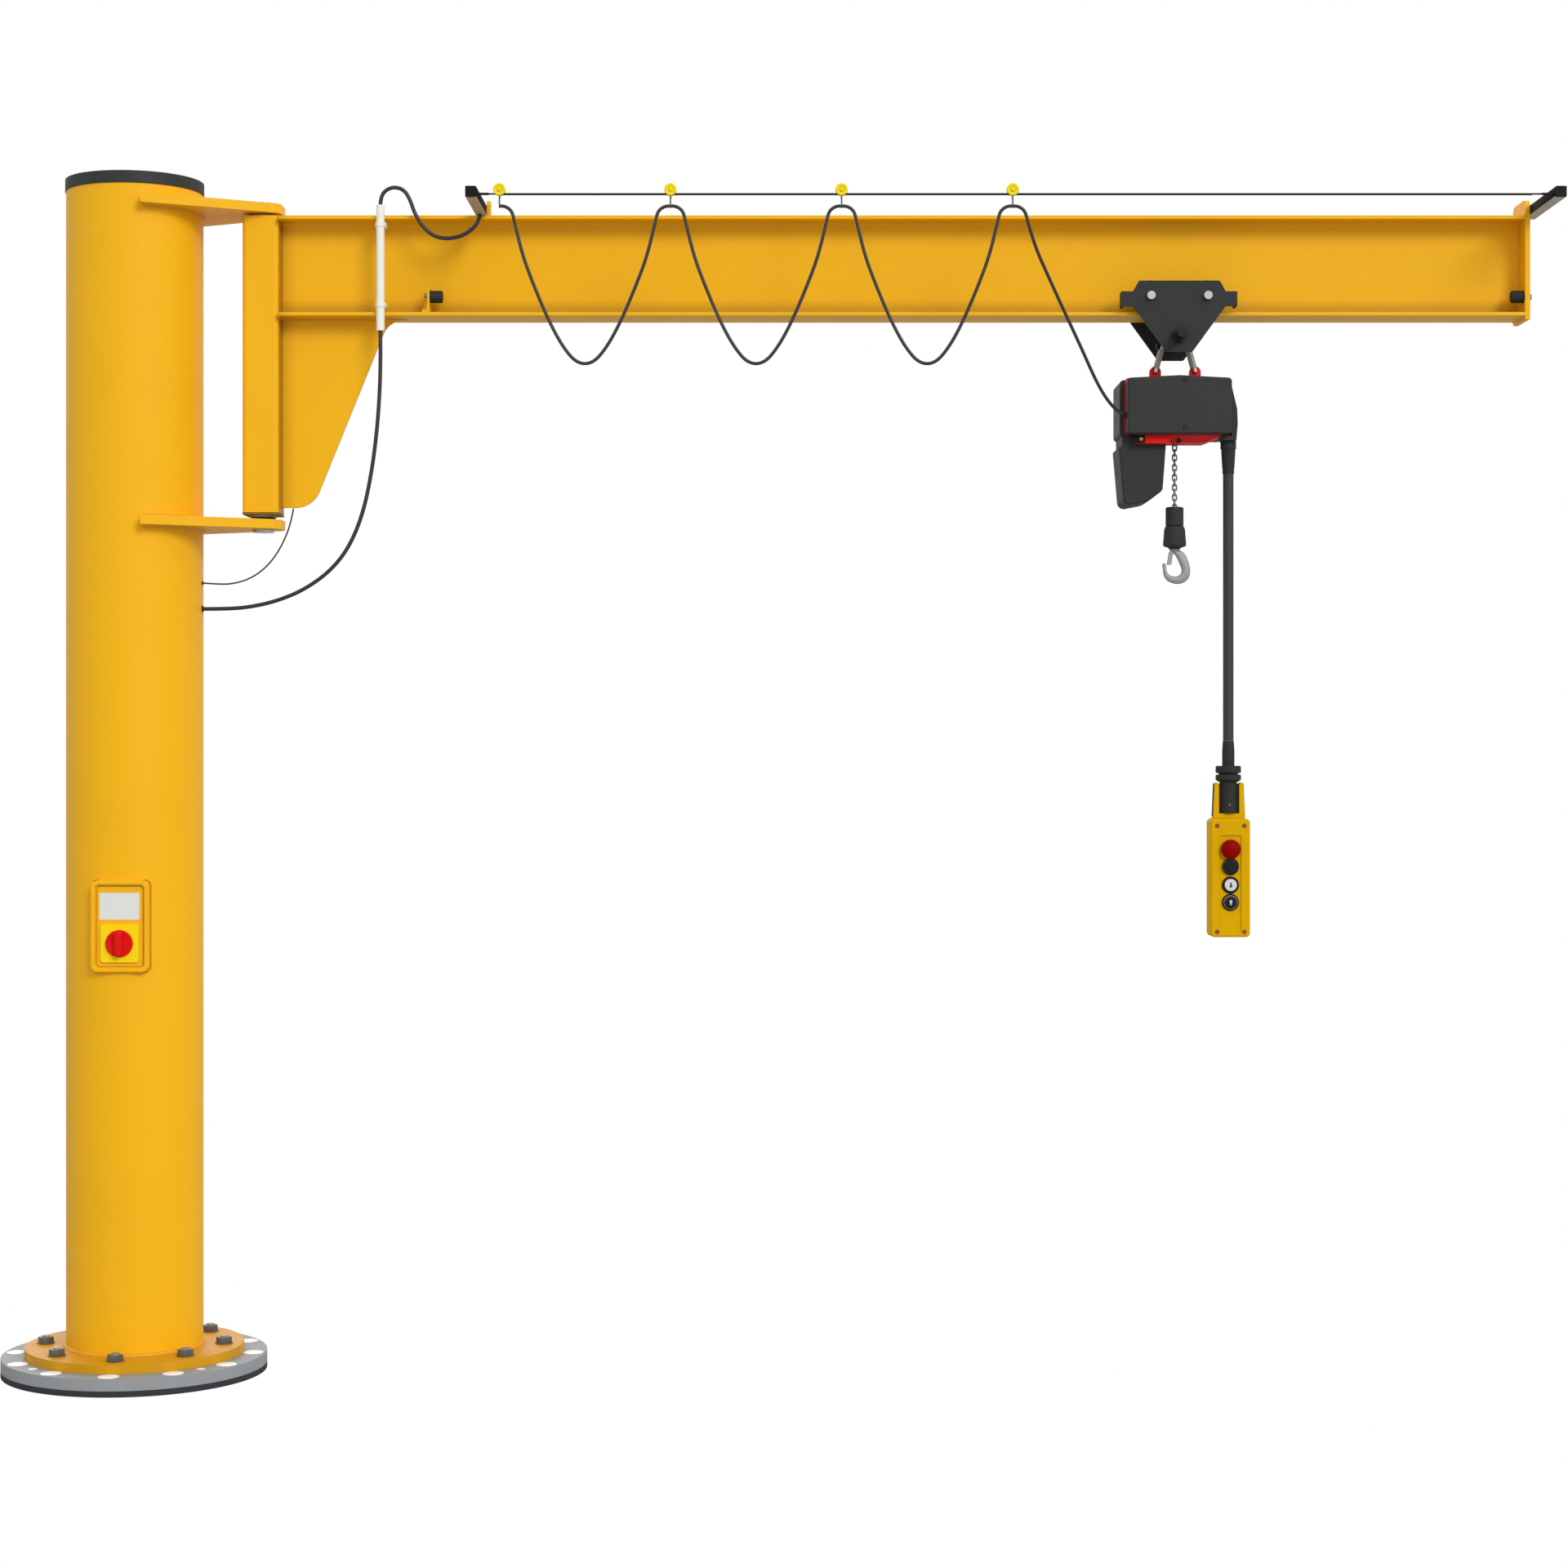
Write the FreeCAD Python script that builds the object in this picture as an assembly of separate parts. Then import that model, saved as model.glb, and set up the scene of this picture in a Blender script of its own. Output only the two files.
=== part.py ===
import FreeCAD, Part
import math
import os

# Pillar jib crane with an electric chain hoist, a festoon cable on a tension wire and a hanging pendant.
# Millimetres. The origin is the centre of the floor mat's underside, on the floor.
# +Z is up, +X runs out along the jib, and the festoon wire hangs on the -Y side.

V = FreeCAD.Vector
X_AXIS = V(1, 0, 0)
Y_AXIS = V(0, 1, 0)
Z_AXIS = V(0, 0, 1)

# General clearances
seat = 0.3

# Foot of the column
mat_radius = 394.0
mat_height = 18.0
anchor_plate_radius = mat_radius
anchor_plate_height = 35.0
anchor_count = 12
anchor_circle = mat_radius - 37.0
anchor_hole_radius = 28.0
levelling_count = 4
levelling_circle = mat_radius - 44.0
levelling_hole_radius = 12.0
flange_radius = mat_radius - 69.0
flange_height = 28.0
flange_bolt_count = 8
flange_bolt_circle = flange_radius - 56.0
flange_bolt_hole_radius = 16.5

# Column
column_radius = 203.2
column_wall = 10.0
column_top = 3576.7
cap_wall = 2.2
cap_skirt = 36.0
cap_thickness = 10.0

# Bearing plates that carry the jib
pivot_x = column_radius + 184.8
plate_thickness = 28.0
upper_plate_z = column_top - 88.7
plate_spacing = 949.0
lower_plate_z = upper_plate_z - plate_spacing
fork_back_x = column_radius - 137.2
fork_half_width = column_radius + 33.8
plate_tip_x = pivot_x + 60.0
plate_tip_half_width = 49.0
tip_chamfer = 14.0
pin_radius = 20.0
pin_flange_radius = pin_radius + 13.0
pin_head_height = 8.0
pin_engagement = 50.0
lower_thrust_height = 21.0
upper_thrust_height = 8.0

# Jib
post_width = 110.0
post_wall = 8.0
post_corner = 14.0
post_bottom = lower_plate_z + plate_thickness + lower_thrust_height
post_top = upper_plate_z - upper_thrust_height
post_end_plate = 15.0
beam_height = 300.0
beam_width = 150.0
beam_web = 7.1
beam_flange = 10.7
beam_root_radius = 15.0
beam_top = post_top - 4.0
beam_bottom = beam_top - beam_height
jib_reach = 3795.0
beam_end_x = pivot_x + jib_reach
haunch_thickness = 10.0
haunch_bottom = post_bottom + 17.0
haunch_foot_x = pivot_x + 150.0
haunch_head_x = pivot_x + 380.0
haunch_nose_radius = 80.0
haunch_throat_radius = 65.0
haunch_lip = 4.0
end_plate_thickness = 15.0
end_plate_bottom = beam_bottom - 11.0
end_plate_top = beam_top + 48.0
end_plate_corner = 22.0

# Buffers and the bracket that carries the inner pair
buffer_radius = 19.0
buffer_length = 38.0
buffer_offset_y = beam_width / 2 - 23.0
buffer_z = beam_bottom + 59.0
stop_face_x = pivot_x + 510.0
stop_base_length = 22.0
stop_thickness = 7.0
stop_height = 74.0
stop_inner_y = buffer_offset_y - 30.0
stop_outer_y = buffer_offset_y + 21.0

# Slotted rails that carry the tension wire
rail_size = 32.0
rail_wall = 3.0
rail_slot = 14.0
rail_near_y = -366.0
inner_rail_x = stop_face_x + 139.0
inner_rail_far_y = -20.0
outer_rail_far_y = -10.0
rail_cap_length = 5.0
lug_thickness = 10.0
lug_near_y = -72.0
lug_far_y = -22.0
lug_height = 46.0
lug_corner = 12.0

# Tension wire, a little below the middle of the rails' slots
wire_y = rail_near_y + 16.0
wire_z = beam_top + rail_size / 2 - 3.5
wire_radius = 2.5
ferrule_radius = 3.8
ferrule_length = 34.0
wire_head_thickness = 8.0
wire_head_half = 10.0

# Cable trolleys on the wire
first_clip_x = inner_rail_x + 97.5
clip_spacing = 497.2
clip_count = 4
roller_radius = 18.0
roller_groove_radius = 9.5
roller_width = 15.0
roller_flat = 3.0
groove_half_width = 3.0
roller_bore = 3.2
roller_hub_radius = 6.0
hanger_thickness = 2.0
hanger_width = 5.0
hanger_foot_z = wire_z - 13.0
hanger_foot_thickness = 3.0
clip_z = wire_z - 35.0
clip_length = 8.0
clip_wall = 2.2

# Cables
festoon_diameter = 10.0
supply_diameter = 12.0
earth_diameter = 5.0
conduit_radius = 12.5
conduit_wall = 1.6
conduit_x = pivot_x + 365.5
conduit_bottom = beam_bottom - 48.0
conduit_top = beam_top + 28.0
upper_supply_end_x = inner_rail_x + rail_size / 2
upper_supply_y = -97.0
supply_exit_z = lower_plate_z - 239.0
earth_exit_z = lower_plate_z - 161.0
gland_radius = 10.0
gland_length = 3.0
earth_gland_radius = 6.0
cable_end_clearance = 1.5
earth_end_x = pivot_x + 91.0

# Main switch on the column
switch_z = 1352.0
switch_frame_width = 171.0
switch_frame_height = 271.0
switch_frame_corner = 20.0
switch_frame_edge = 4.0
switch_frame_rim = 13.0
switch_frame_front = column_radius + 12.8
switch_recess_depth = 9.5
isolator_z = switch_z - 50.0
isolator_plate_width = 113.0
isolator_plate_height = 112.0
isolator_plate_thickness = 6.0
isolator_plate_corner = 8.0
knob_radius = 40.0
knob_base_thickness = 9.0
knob_grip_width = 22.0
knob_grip_height = 17.0

# Hoist trolley
hoist_x = pivot_x + 2755.0
trolley_plate_outer_y = beam_width / 2 + 30.0
trolley_plate_thickness = 8.0
trolley_top = beam_bottom + 100.0
trolley_top_half = 121.0
trolley_top_corner = 8.0
trolley_foot_corner = 10.0
ear_top = beam_bottom + 68.0
ear_bottom = beam_bottom + 23.5
ear_shoulder = 138.0
ear_reach = 173.0
ear_fold = 8.0
ear_inner_y = trolley_plate_outer_y - 49.0
trolley_foot = beam_bottom - 113.0
trolley_foot_half = 39.0
wheel_offset_x = 85.0
wheel_radius = 44.0
wheel_tread_inner_y = beam_width / 2 - 27.0
wheel_flange_radius = 49.0
wheel_flange_inner_y = beam_width / 2 + 2.0
wheel_outer_y = beam_width / 2 + 10.0
wheel_bore = 10.3
axle_radius = 10.0
axle_head_radius = 12.5
axle_head_length = 12.0
axle_spacer_radius = 14.5
bar_z = beam_bottom - 63.0
bar_radius = 15.0
bar_reach = trolley_plate_outer_y + 67.0
bar_sleeve_radius = 22.0
bar_nut_length = 18.0
yoke_plate_half = 56.0
yoke_plate_height = 34.0
yoke_plate_thickness = 12.0
yoke_plate_corner = 14.0
link_pin_x = 38.0
link_pin_z = bar_z - 19.0
link_eye_x = 60.0
link_eye_z = link_pin_z - 79.0
link_bar_radius = 5.5
link_half_width = 15.0

# Hoist body
hoist_left = hoist_x - 157.0
hoist_right = hoist_x + 155.0
hoist_top = link_eye_z - 27.0
hoist_height = 172.0
hoist_cover_bottom = hoist_top - hoist_height
hoist_crown = 4.0
hoist_half_depth = 125.0
cover_depth = 40.0
cover_skin = 4.0
cover_corner = 12.0
rear_cover_extra = 16.0
seam_front_y = -66.0
seam_rear_y = -56.0
seam_lip = 2.0
housing_corner = 8.0
housing_bottom = hoist_cover_bottom - 20.0
housing_lip_bottom = housing_bottom - 6.0
housing_lip_right = hoist_x - 29.0
housing_foot_left = hoist_left + 25.0
housing_foot_right = hoist_x + 82.0
housing_heel_right = hoist_x + 129.0
housing_foot_front_y = -98.0
housing_foot_rear_y = 24.0
housing_foot_slope_y = -62.0
housing_foot_overlap = 6.0
eye_radius = 17.0
eye_thickness = 18.0
eye_bore = 5.8
chain_x = hoist_x - 1.0
chain_shaft_radius = 15.0
chain_shaft_roof = 14.0
chain_mouth_depth = 8.0
side_box_right = hoist_right + 21.0
side_box_top = hoist_top - 22.0
side_box_slope_foot = hoist_top - 95.0
side_box_waist = hoist_top - 138.0
side_box_bottom = hoist_cover_bottom - 10.0
side_box_half_depth = 34.0
side_box_floor = 6.0
pendant_x = hoist_right - 2.6
pendant_y = -60.0

# Chain container
container_left = hoist_left - 11.0
container_right = hoist_left + 123.0
container_top = hoist_cover_bottom - seam_lip - seat
container_low = container_top - 208.7
container_high = container_top - 161.7
container_front_y = -75.0
container_rear_y = 98.0
container_bulge = 10.0
container_bulge_drop = 33.0
container_corner = 20.0
container_edge_radius = 6.0

# Chain, hook block and hook
chain_pitch = 15.0
chain_wire = 5.0
chain_width = 17.0
hook_drop = 262.0
chain_bottom = housing_bottom - hook_drop
chain_reach_in_housing = 95.0
sleeve_radius = 27.0
sleeve_bottom = chain_bottom + 17.3
sleeve_top = sleeve_bottom + 55.7
chain_bore = 10.5
block_neck_radius = 28.0
block_shoulder_radius = 31.5
block_radius = 34.8
block_top = sleeve_bottom - seat
block_shoulder_z = block_top - 11.0
block_bottom = block_top - 63.0
block_foot_radius = 18.0
block_foot_z = block_bottom - 7.0
hook_shank_radius = 7.0
hook_collar_radius = 12.0
hook_collar_top = chain_bottom - 12.0
hook_collar_bottom = chain_bottom - 24.0
hook_root_radius = 8.5
hook_shoulder_radius = 16.0

# Pendant
pendant_relief_top_radius = 23.5
pendant_relief_foot_radius = 17.5
pendant_relief_top = side_box_bottom - side_box_floor - seat
pendant_relief_foot = pendant_relief_top - 96.7
pendant_relief_collar = 22.0
pendant_cable_radius = 16.0
pendant_cable_length = 802.0
pendant_cable_foot = pendant_relief_foot - pendant_cable_length
pendant_neck_top_radius = 16.5
pendant_neck_radius = 18.5
gland_ring_radius = 38.0
gland_ring_top = pendant_cable_foot - 75.0
gland_ring_height = 22.0
gland_groove = 4.0
gland_edge = 3.0
gland_foot = gland_ring_top - 48.0
pendant_strap_width = 95.0
pendant_strap_thickness = 17.0
pendant_strap_half_depth = 18.0
pendant_strap_corner = 6.0
pendant_strap_taper = 4.0
pendant_bar_height = 15.0
pendant_strap_top = gland_foot - 2.0
pendant_strap_foot = pendant_strap_top - 107.7
pendant_width = 119.0
pendant_height = 354.0
pendant_top = pendant_strap_foot - seat
pendant_bottom = pendant_top - pendant_height
pendant_front_y = pendant_y - 45.0
pendant_back_y = pendant_y + 45.0
pendant_corner = 13.0
pendant_face_edge = 7.0
pendant_recess_width = 64.0
pendant_recess_top = pendant_top - 50.0
pendant_recess_bottom = pendant_bottom + 14.0
pendant_recess_depth = 3.0
pendant_recess_corner = 4.0
button_names = ("stop_button", "lift_button", "lower_button", "travel_button")
button_drops = (91.0, 143.0, 198.0, 250.0)
button_radii = (29.0, 22.5, 18.0, 17.0)
button_stand = (26.0, 13.0, 12.0, 12.0)
button_edge = 2.0
button_stem_radius = 9.0
button_stem_depth = 14.0
button_bore_depth = 30.0
button_collar_radius = 25.0
button_collar_stand = 3.0
button_travel = 4.0

os.makedirs("parts", exist_ok=True)


def write(name, *solids):
    """Write one node, as one solid or as several that do not touch."""
    shape = solids[0] if len(solids) == 1 else Part.makeCompound(list(solids))
    shape.exportStep("parts/" + name + ".step")
    print(name, len(shape.Solids), "valid" if shape.isValid() else "NOT VALID")


def box(x0, x1, y0, y1, z0, z1):
    return Part.makeBox(x1 - x0, y1 - y0, z1 - z0, V(x0, y0, z0))


def rod(radius, start, end):
    """A round bar from one point to another."""
    along = end - start
    return Part.makeCylinder(radius, along.Length, start, along)


def ring(outer, inner, start, end):
    return rod(outer, start, end).cut(rod(inner, start, end))


def profile(corners, place):
    """A closed wire through corners (u, v, radius), with tangent arcs where a radius is given."""
    count = len(corners)
    ends = []
    for i in range(count):
        u, v, radius = corners[i]
        here = V(u, v, 0)
        before = V(corners[i - 1][0], corners[i - 1][1], 0) - here
        after = V(corners[(i + 1) % count][0], corners[(i + 1) % count][1], 0) - here
        before.normalize()
        after.normalize()
        half = before.getAngle(after) / 2
        if radius <= 0:
            ends.append((here, None, here))
            continue
        reach = radius / math.tan(half)
        middle_direction = before + after
        middle_direction.normalize()
        middle = here + middle_direction * (radius / math.sin(half) - radius)
        ends.append((here + before * reach, middle, here + after * reach))
    edges = []
    for i in range(count):
        start, middle, end = ends[i]
        if middle is not None:
            edges.append(Part.Arc(place(start), place(middle), place(end)).toShape())
        following = ends[(i + 1) % count][0]
        if (following - end).Length > 1e-6:
            edges.append(Part.LineSegment(place(end), place(following)).toShape())
    return Part.Wire(edges)


def plan_prism(corners, z0, z1):
    """Extrude an outline in X and Y upwards."""
    face = Part.Face(profile(corners, lambda p: V(p.x, p.y, z0)))
    return face.extrude(V(0, 0, z1 - z0))


def side_prism(corners, y0, y1):
    """Extrude an outline in X and Z along Y."""
    face = Part.Face(profile(corners, lambda p: V(p.x, y0, p.y)))
    return face.extrude(V(0, y1 - y0, 0))


def end_prism(corners, x0, x1):
    """Extrude an outline in Y and Z along X."""
    face = Part.Face(profile(corners, lambda p: V(x0, p.x, p.y)))
    return face.extrude(V(x1 - x0, 0, 0))


def rounded(low_u, high_u, low_v, high_v, radius):
    """The corners of a rounded rectangle."""
    return [(low_u, low_v, radius), (high_u, low_v, radius), (high_u, high_v, radius), (low_u, high_v, radius)]


def turned(points, centre_x, centre_y):
    """Revolve an outline of (radius, z) points about an upright axis."""
    corners = [V(centre_x + r, centre_y, z) for r, z in points]
    face = Part.Face(Part.makePolygon(corners + corners[:1]))
    return face.revolve(V(centre_x, centre_y, 0), Z_AXIS, 360)


def fuse(solids):
    whole = solids[0]
    for solid in solids[1:]:
        whole = whole.fuse(solid)
    return whole.removeSplitter()


def facet(corners):
    return Part.Face(Part.makePolygon(corners + corners[:1]))


def skin(rings, closed):
    """A solid of flat facets laid between rings of points, closed on itself or capped at both ends."""
    count = len(rings[0])
    faces = [] if closed else [facet(rings[0]), facet(rings[-1])]
    following = rings[1:] + rings[:1] if closed else rings[1:]
    for near, far in zip(rings, following):
        for i in range(count):
            j = (i + 1) % count
            normal = (near[j] - near[i]).cross(far[i] - near[i])
            if abs((far[j] - near[i]).dot(normal)) < 1e-6:
                faces.append(facet([near[i], near[j], far[j], far[i]]))
            else:
                faces.append(facet([near[i], near[j], far[j]]))
                faces.append(facet([near[i], far[j], far[i]]))
    solid = Part.Solid(Part.Shell(faces))
    if solid.Volume < 0:
        solid.reverse()
    return solid


def circle_points(count, radius, first_angle=0.0):
    for i in range(count):
        angle = math.radians(first_angle + 360.0 * i / count)
        yield V(radius * math.cos(angle), radius * math.sin(angle), 0)


def cord(name, points, diameter):
    """A cable: straight runs joined by tangent arcs, swept with a round section."""
    points = [V(*p) for p in points]
    edges = []
    last = points[0]
    radii = []
    for i in range(1, len(points) - 1):
        back = points[i - 1] - points[i]
        forth = points[i + 1] - points[i]
        shorter = min(back.Length, forth.Length)
        back.normalize()
        forth.normalize()
        half_turn = (math.pi - back.getAngle(forth)) / 2
        reach = 0.45 * shorter
        radius = reach / math.tan(half_turn)
        radii.append(round(radius))
        start = points[i] + back * reach
        end = points[i] + forth * reach
        bisector = back + forth
        bisector.normalize()
        middle = points[i] + bisector * (radius / math.cos(half_turn) - radius)
        edges.append(Part.LineSegment(last, start).toShape())
        edges.append(Part.Arc(start, middle, end).toShape())
        last = end
    edges.append(Part.LineSegment(last, points[-1]).toShape())
    path = Part.Wire(edges)
    section = Part.Wire(Part.makeCircle(diameter / 2, points[0], points[1] - points[0]))
    tube = path.makePipeShell([section], True, True)
    expected = path.Length * math.pi * diameter ** 2 / 4
    print(name, "length", round(path.Length), "radii", radii, "volume ratio", round(tube.Volume / expected, 4))
    write(name, tube)


# Foot of the column

mat_top = mat_height
plate_top = mat_top + anchor_plate_height
flange_top = plate_top + flange_height


def foot_disc(radius, z0, z1):
    disc = rod(radius, V(0, 0, z0), V(0, 0, z1))
    for centre in circle_points(anchor_count, anchor_circle):
        disc = disc.cut(rod(anchor_hole_radius, centre + V(0, 0, z0), centre + V(0, 0, z1)))
    for centre in circle_points(levelling_count, levelling_circle, 45.0):
        disc = disc.cut(rod(levelling_hole_radius, centre + V(0, 0, z0), centre + V(0, 0, z1)))
    return disc


write("floor_mat", foot_disc(mat_radius, 0, mat_top))
write("anchor_plate", foot_disc(anchor_plate_radius, mat_top, plate_top))

base_flange = rod(flange_radius, V(0, 0, plate_top), V(0, 0, flange_top))
for centre in circle_points(flange_bolt_count, flange_bolt_circle):
    bolt_hole = rod(flange_bolt_hole_radius, centre + V(0, 0, plate_top), centre + V(0, 0, flange_top))
    base_flange = base_flange.cut(bolt_hole)
write("base_flange", base_flange)

# Column tube and cap

column_inner = column_radius - column_wall
column = ring(column_radius, column_inner, V(0, 0, flange_top), V(0, 0, column_top))
gland_neck_share = 0.6
for radius, hole_z in ((gland_radius, supply_exit_z), (earth_gland_radius, earth_exit_z)):
    hole_from = V(column_inner - column_wall, 0, hole_z)
    hole_to = V(column_radius + column_wall, 0, hole_z)
    column = column.cut(rod(radius * gland_neck_share + seat, hole_from, hole_to))
write("column_tube", column)

cap_top = column_top + seat + cap_thickness
cap_outer = column_radius + seat + cap_wall
column_cap = rod(cap_outer, V(0, 0, cap_top - cap_skirt), V(0, 0, cap_top))
cap_hollow = rod(column_radius + seat, V(0, 0, cap_top - cap_skirt), V(0, 0, column_top + seat))
write("column_cap", column_cap.cut(cap_hollow))


def gland(radius, z):
    """A flat rubber grommet: a thin collar outside and a neck through the column's wall."""
    face = V(column_radius + gland_length, 0, z)
    return fuse([rod(radius, V(column_radius + seat, 0, z), face),
                 rod(radius * gland_neck_share, V(column_inner - 4, 0, z), face)])


write("column_glands", gland(gland_radius, supply_exit_z), gland(earth_gland_radius, earth_exit_z))

# Bearing plates: forks that wrap round the front half of the column


def bearing_plate(z0):
    z1 = z0 + plate_thickness
    side = fork_half_width - plate_tip_half_width
    slope = side / (plate_tip_x - fork_back_x)
    shoulder = plate_tip_half_width + tip_chamfer * slope
    corners = [
        (fork_back_x, -fork_half_width, 0),
        (plate_tip_x - tip_chamfer, -shoulder, 0),
        (plate_tip_x, -plate_tip_half_width + tip_chamfer, 0),
        (plate_tip_x, plate_tip_half_width - tip_chamfer, 0),
        (plate_tip_x - tip_chamfer, shoulder, 0),
        (fork_back_x, fork_half_width, 0),
    ]
    plate = plan_prism(corners, z0, z1)
    plate = plate.cut(rod(column_radius + seat, V(0, 0, z0 - 1), V(0, 0, z1 + 1)))
    return plate.cut(rod(pin_radius + seat, V(pivot_x, 0, z0 - 1), V(pivot_x, 0, z1 + 1)))


write("bearing_plate_upper", bearing_plate(upper_plate_z))
write("bearing_plate_lower", bearing_plate(lower_plate_z))

# Pivot pins, each with a head outside its plate and a thrust ring between the plate and the post


def pivot_pin(outer_face, head_direction, ring_end, pin_end):
    """One turned pin: head, a neck through the bearing plate, a thrust ring, and the pin in the post."""
    head_start = outer_face + head_direction * seat
    head_end = head_start + head_direction * pin_head_height
    plate_inner_face = outer_face - head_direction * plate_thickness
    ring_start = plate_inner_face - head_direction * seat
    return turned([(0, head_end), (pin_flange_radius, head_end), (pin_flange_radius, head_start),
                   (pin_radius, head_start), (pin_radius, ring_start), (pin_flange_radius, ring_start),
                   (pin_flange_radius, ring_end), (pin_radius, ring_end), (pin_radius, pin_end),
                   (0, pin_end)], pivot_x, 0)


lower_pin = pivot_pin(lower_plate_z, -1, post_bottom - seat, post_bottom + pin_engagement)
upper_pin = pivot_pin(upper_plate_z + plate_thickness, 1, post_top + seat, post_top - pin_engagement)
write("pivot_pins", lower_pin, upper_pin)

# Pivot post: a square tube closed by an end plate at each end

post_half = post_width / 2
post_left = pivot_x - post_half
post_right = pivot_x + post_half
post_outline = rounded(post_left, post_right, -post_half, post_half, post_corner)
post_bore_outline = rounded(post_left + post_wall, post_right - post_wall, -post_half + post_wall,
                            post_half - post_wall, post_corner - post_wall)
post = plan_prism(post_outline, post_bottom, post_top)
post = post.cut(plan_prism(post_bore_outline, post_bottom + post_end_plate, post_top - post_end_plate))
pin_bore = rod(pin_radius + seat, V(pivot_x, 0, post_bottom - 1), V(pivot_x, 0, post_top + 1))
write("pivot_post", post.cut(pin_bore))

# Jib beam: a rolled I-section with its root radii

beam_half = beam_width / 2
web_half = beam_web / 2
flange_low_top = beam_bottom + beam_flange
flange_high_bottom = beam_top - beam_flange
beam_start_x = post_right + seat
beam_outline = [
    (-beam_half, beam_bottom, 0), (beam_half, beam_bottom, 0), (beam_half, flange_low_top, 0),
    (web_half, flange_low_top, beam_root_radius), (web_half, flange_high_bottom, beam_root_radius),
    (beam_half, flange_high_bottom, 0), (beam_half, beam_top, 0), (-beam_half, beam_top, 0),
    (-beam_half, flange_high_bottom, 0), (-web_half, flange_high_bottom, beam_root_radius),
    (-web_half, flange_low_top, beam_root_radius), (-beam_half, flange_low_top, 0),
]
write("jib_beam", end_prism(beam_outline, beam_start_x, beam_end_x))

# Haunch plate under the beam, in the plane of its web

haunch_half = haunch_thickness / 2
haunch_top = beam_bottom - seat
haunch_outline = [
    (beam_start_x, haunch_bottom, 0),
    (haunch_foot_x, haunch_bottom, haunch_nose_radius),
    (haunch_head_x, haunch_top - haunch_lip, haunch_throat_radius),
    (haunch_head_x + haunch_throat_radius * 0.8, haunch_top - haunch_lip, 0),
    (haunch_head_x + haunch_throat_radius * 0.8, haunch_top, 0),
    (beam_start_x, haunch_top, 0),
]
write("haunch_plate", side_prism(haunch_outline, -haunch_half, haunch_half))

# End plate of the beam

end_plate_x = beam_end_x + seat
end_plate_outer_x = end_plate_x + end_plate_thickness
end_plate_outline = [
    (-beam_half, end_plate_bottom, 0), (beam_half, end_plate_bottom, 0),
    (beam_half, end_plate_top, end_plate_corner), (-beam_half, end_plate_top, end_plate_corner),
]
write("beam_end_plate", end_prism(end_plate_outline, end_plate_x, end_plate_outer_x))

# Stop brackets: an angle with a gusset on each side of the web, standing on the lower flange


def stop_bracket(side):
    near, far = sorted((side * stop_inner_y, side * stop_outer_y))
    middle = side * (stop_inner_y + stop_outer_y) / 2
    foot_z = flange_low_top + seat
    left = stop_face_x - stop_base_length
    foot = box(left, stop_face_x, near, far, foot_z, foot_z + stop_thickness)
    wall = box(stop_face_x - stop_thickness, stop_face_x, near, far, foot_z, foot_z + stop_height)
    wall_middle_x = stop_face_x - stop_thickness / 2
    gusset_top = foot_z + stop_height * 0.95
    gusset = side_prism([(left, foot_z, 0), (wall_middle_x, foot_z, 0), (wall_middle_x, gusset_top, 0),
                         (stop_face_x - stop_thickness, gusset_top, 0), (left, foot_z + stop_thickness, 0)],
                        middle - stop_thickness / 2, middle + stop_thickness / 2)
    return fuse([foot, wall, gusset])


write("stop_brackets", stop_bracket(-1), stop_bracket(1))


buffer_waist_radius = buffer_radius * 0.86
buffer_tip_radius = buffer_radius * 0.8


def buffer(face_x, direction, side):
    """A rubber buffer standing on a face: a waisted bush with a rounded nose."""
    ahead = V(direction, 0, 0)
    root = V(face_x, side * buffer_offset_y, buffer_z) + ahead * seat
    waist = root + ahead * buffer_length * 0.45
    nose = root + ahead * buffer_length * 0.85
    return fuse([Part.makeCone(buffer_radius, buffer_waist_radius, buffer_length * 0.45, root, ahead),
                 Part.makeCone(buffer_waist_radius, buffer_radius, buffer_length * 0.4, waist, ahead),
                 Part.makeCone(buffer_radius, buffer_tip_radius, buffer_length * 0.15, nose, ahead)])


write("buffers", buffer(stop_face_x, 1, -1), buffer(stop_face_x, 1, 1),
      buffer(end_plate_x, -1, -1), buffer(end_plate_x, -1, 1))

# Slotted rails across the ends of the festoon run, with their slots facing each other

inner_rail_z = beam_top + seat
outer_rail_x = end_plate_outer_x + seat
rail_corner = 2.0
rail_cap_corner = 3.0


def slotted_rail(x0, z0, opening, far_y):
    """A C-shaped rail along Y. opening is +1 for a slot on its right side and -1 on its left."""
    outline = rounded(x0, x0 + rail_size, z0, z0 + rail_size, rail_corner)
    rail = side_prism(outline, rail_near_y, far_y)
    hollow = box(x0 + rail_wall, x0 + rail_size - rail_wall, rail_near_y, far_y,
                 z0 + rail_wall, z0 + rail_size - rail_wall)
    middle_z = z0 + rail_size / 2
    face_x = x0 + rail_size if opening > 0 else x0
    slot = box(face_x - rail_wall * 1.2, face_x + rail_wall * 1.2, rail_near_y, far_y,
               middle_z - rail_slot / 2, middle_z + rail_slot / 2)
    return rail.cut(hollow).cut(slot)


inner_rail = slotted_rail(inner_rail_x, inner_rail_z, 1, inner_rail_far_y)
outer_rail = slotted_rail(outer_rail_x, inner_rail_z, -1, outer_rail_far_y)
write("wire_arms", inner_rail, outer_rail)


def rail_cap(x0, z0, face_y, outward):
    """A plastic plate over the rail's end."""
    plate_from = face_y + outward * seat
    plate_to = plate_from + outward * (rail_cap_length - seat)
    low, high = sorted((plate_from, plate_to))
    return side_prism(rounded(x0, x0 + rail_size, z0, z0 + rail_size, rail_cap_corner), low, high)


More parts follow.
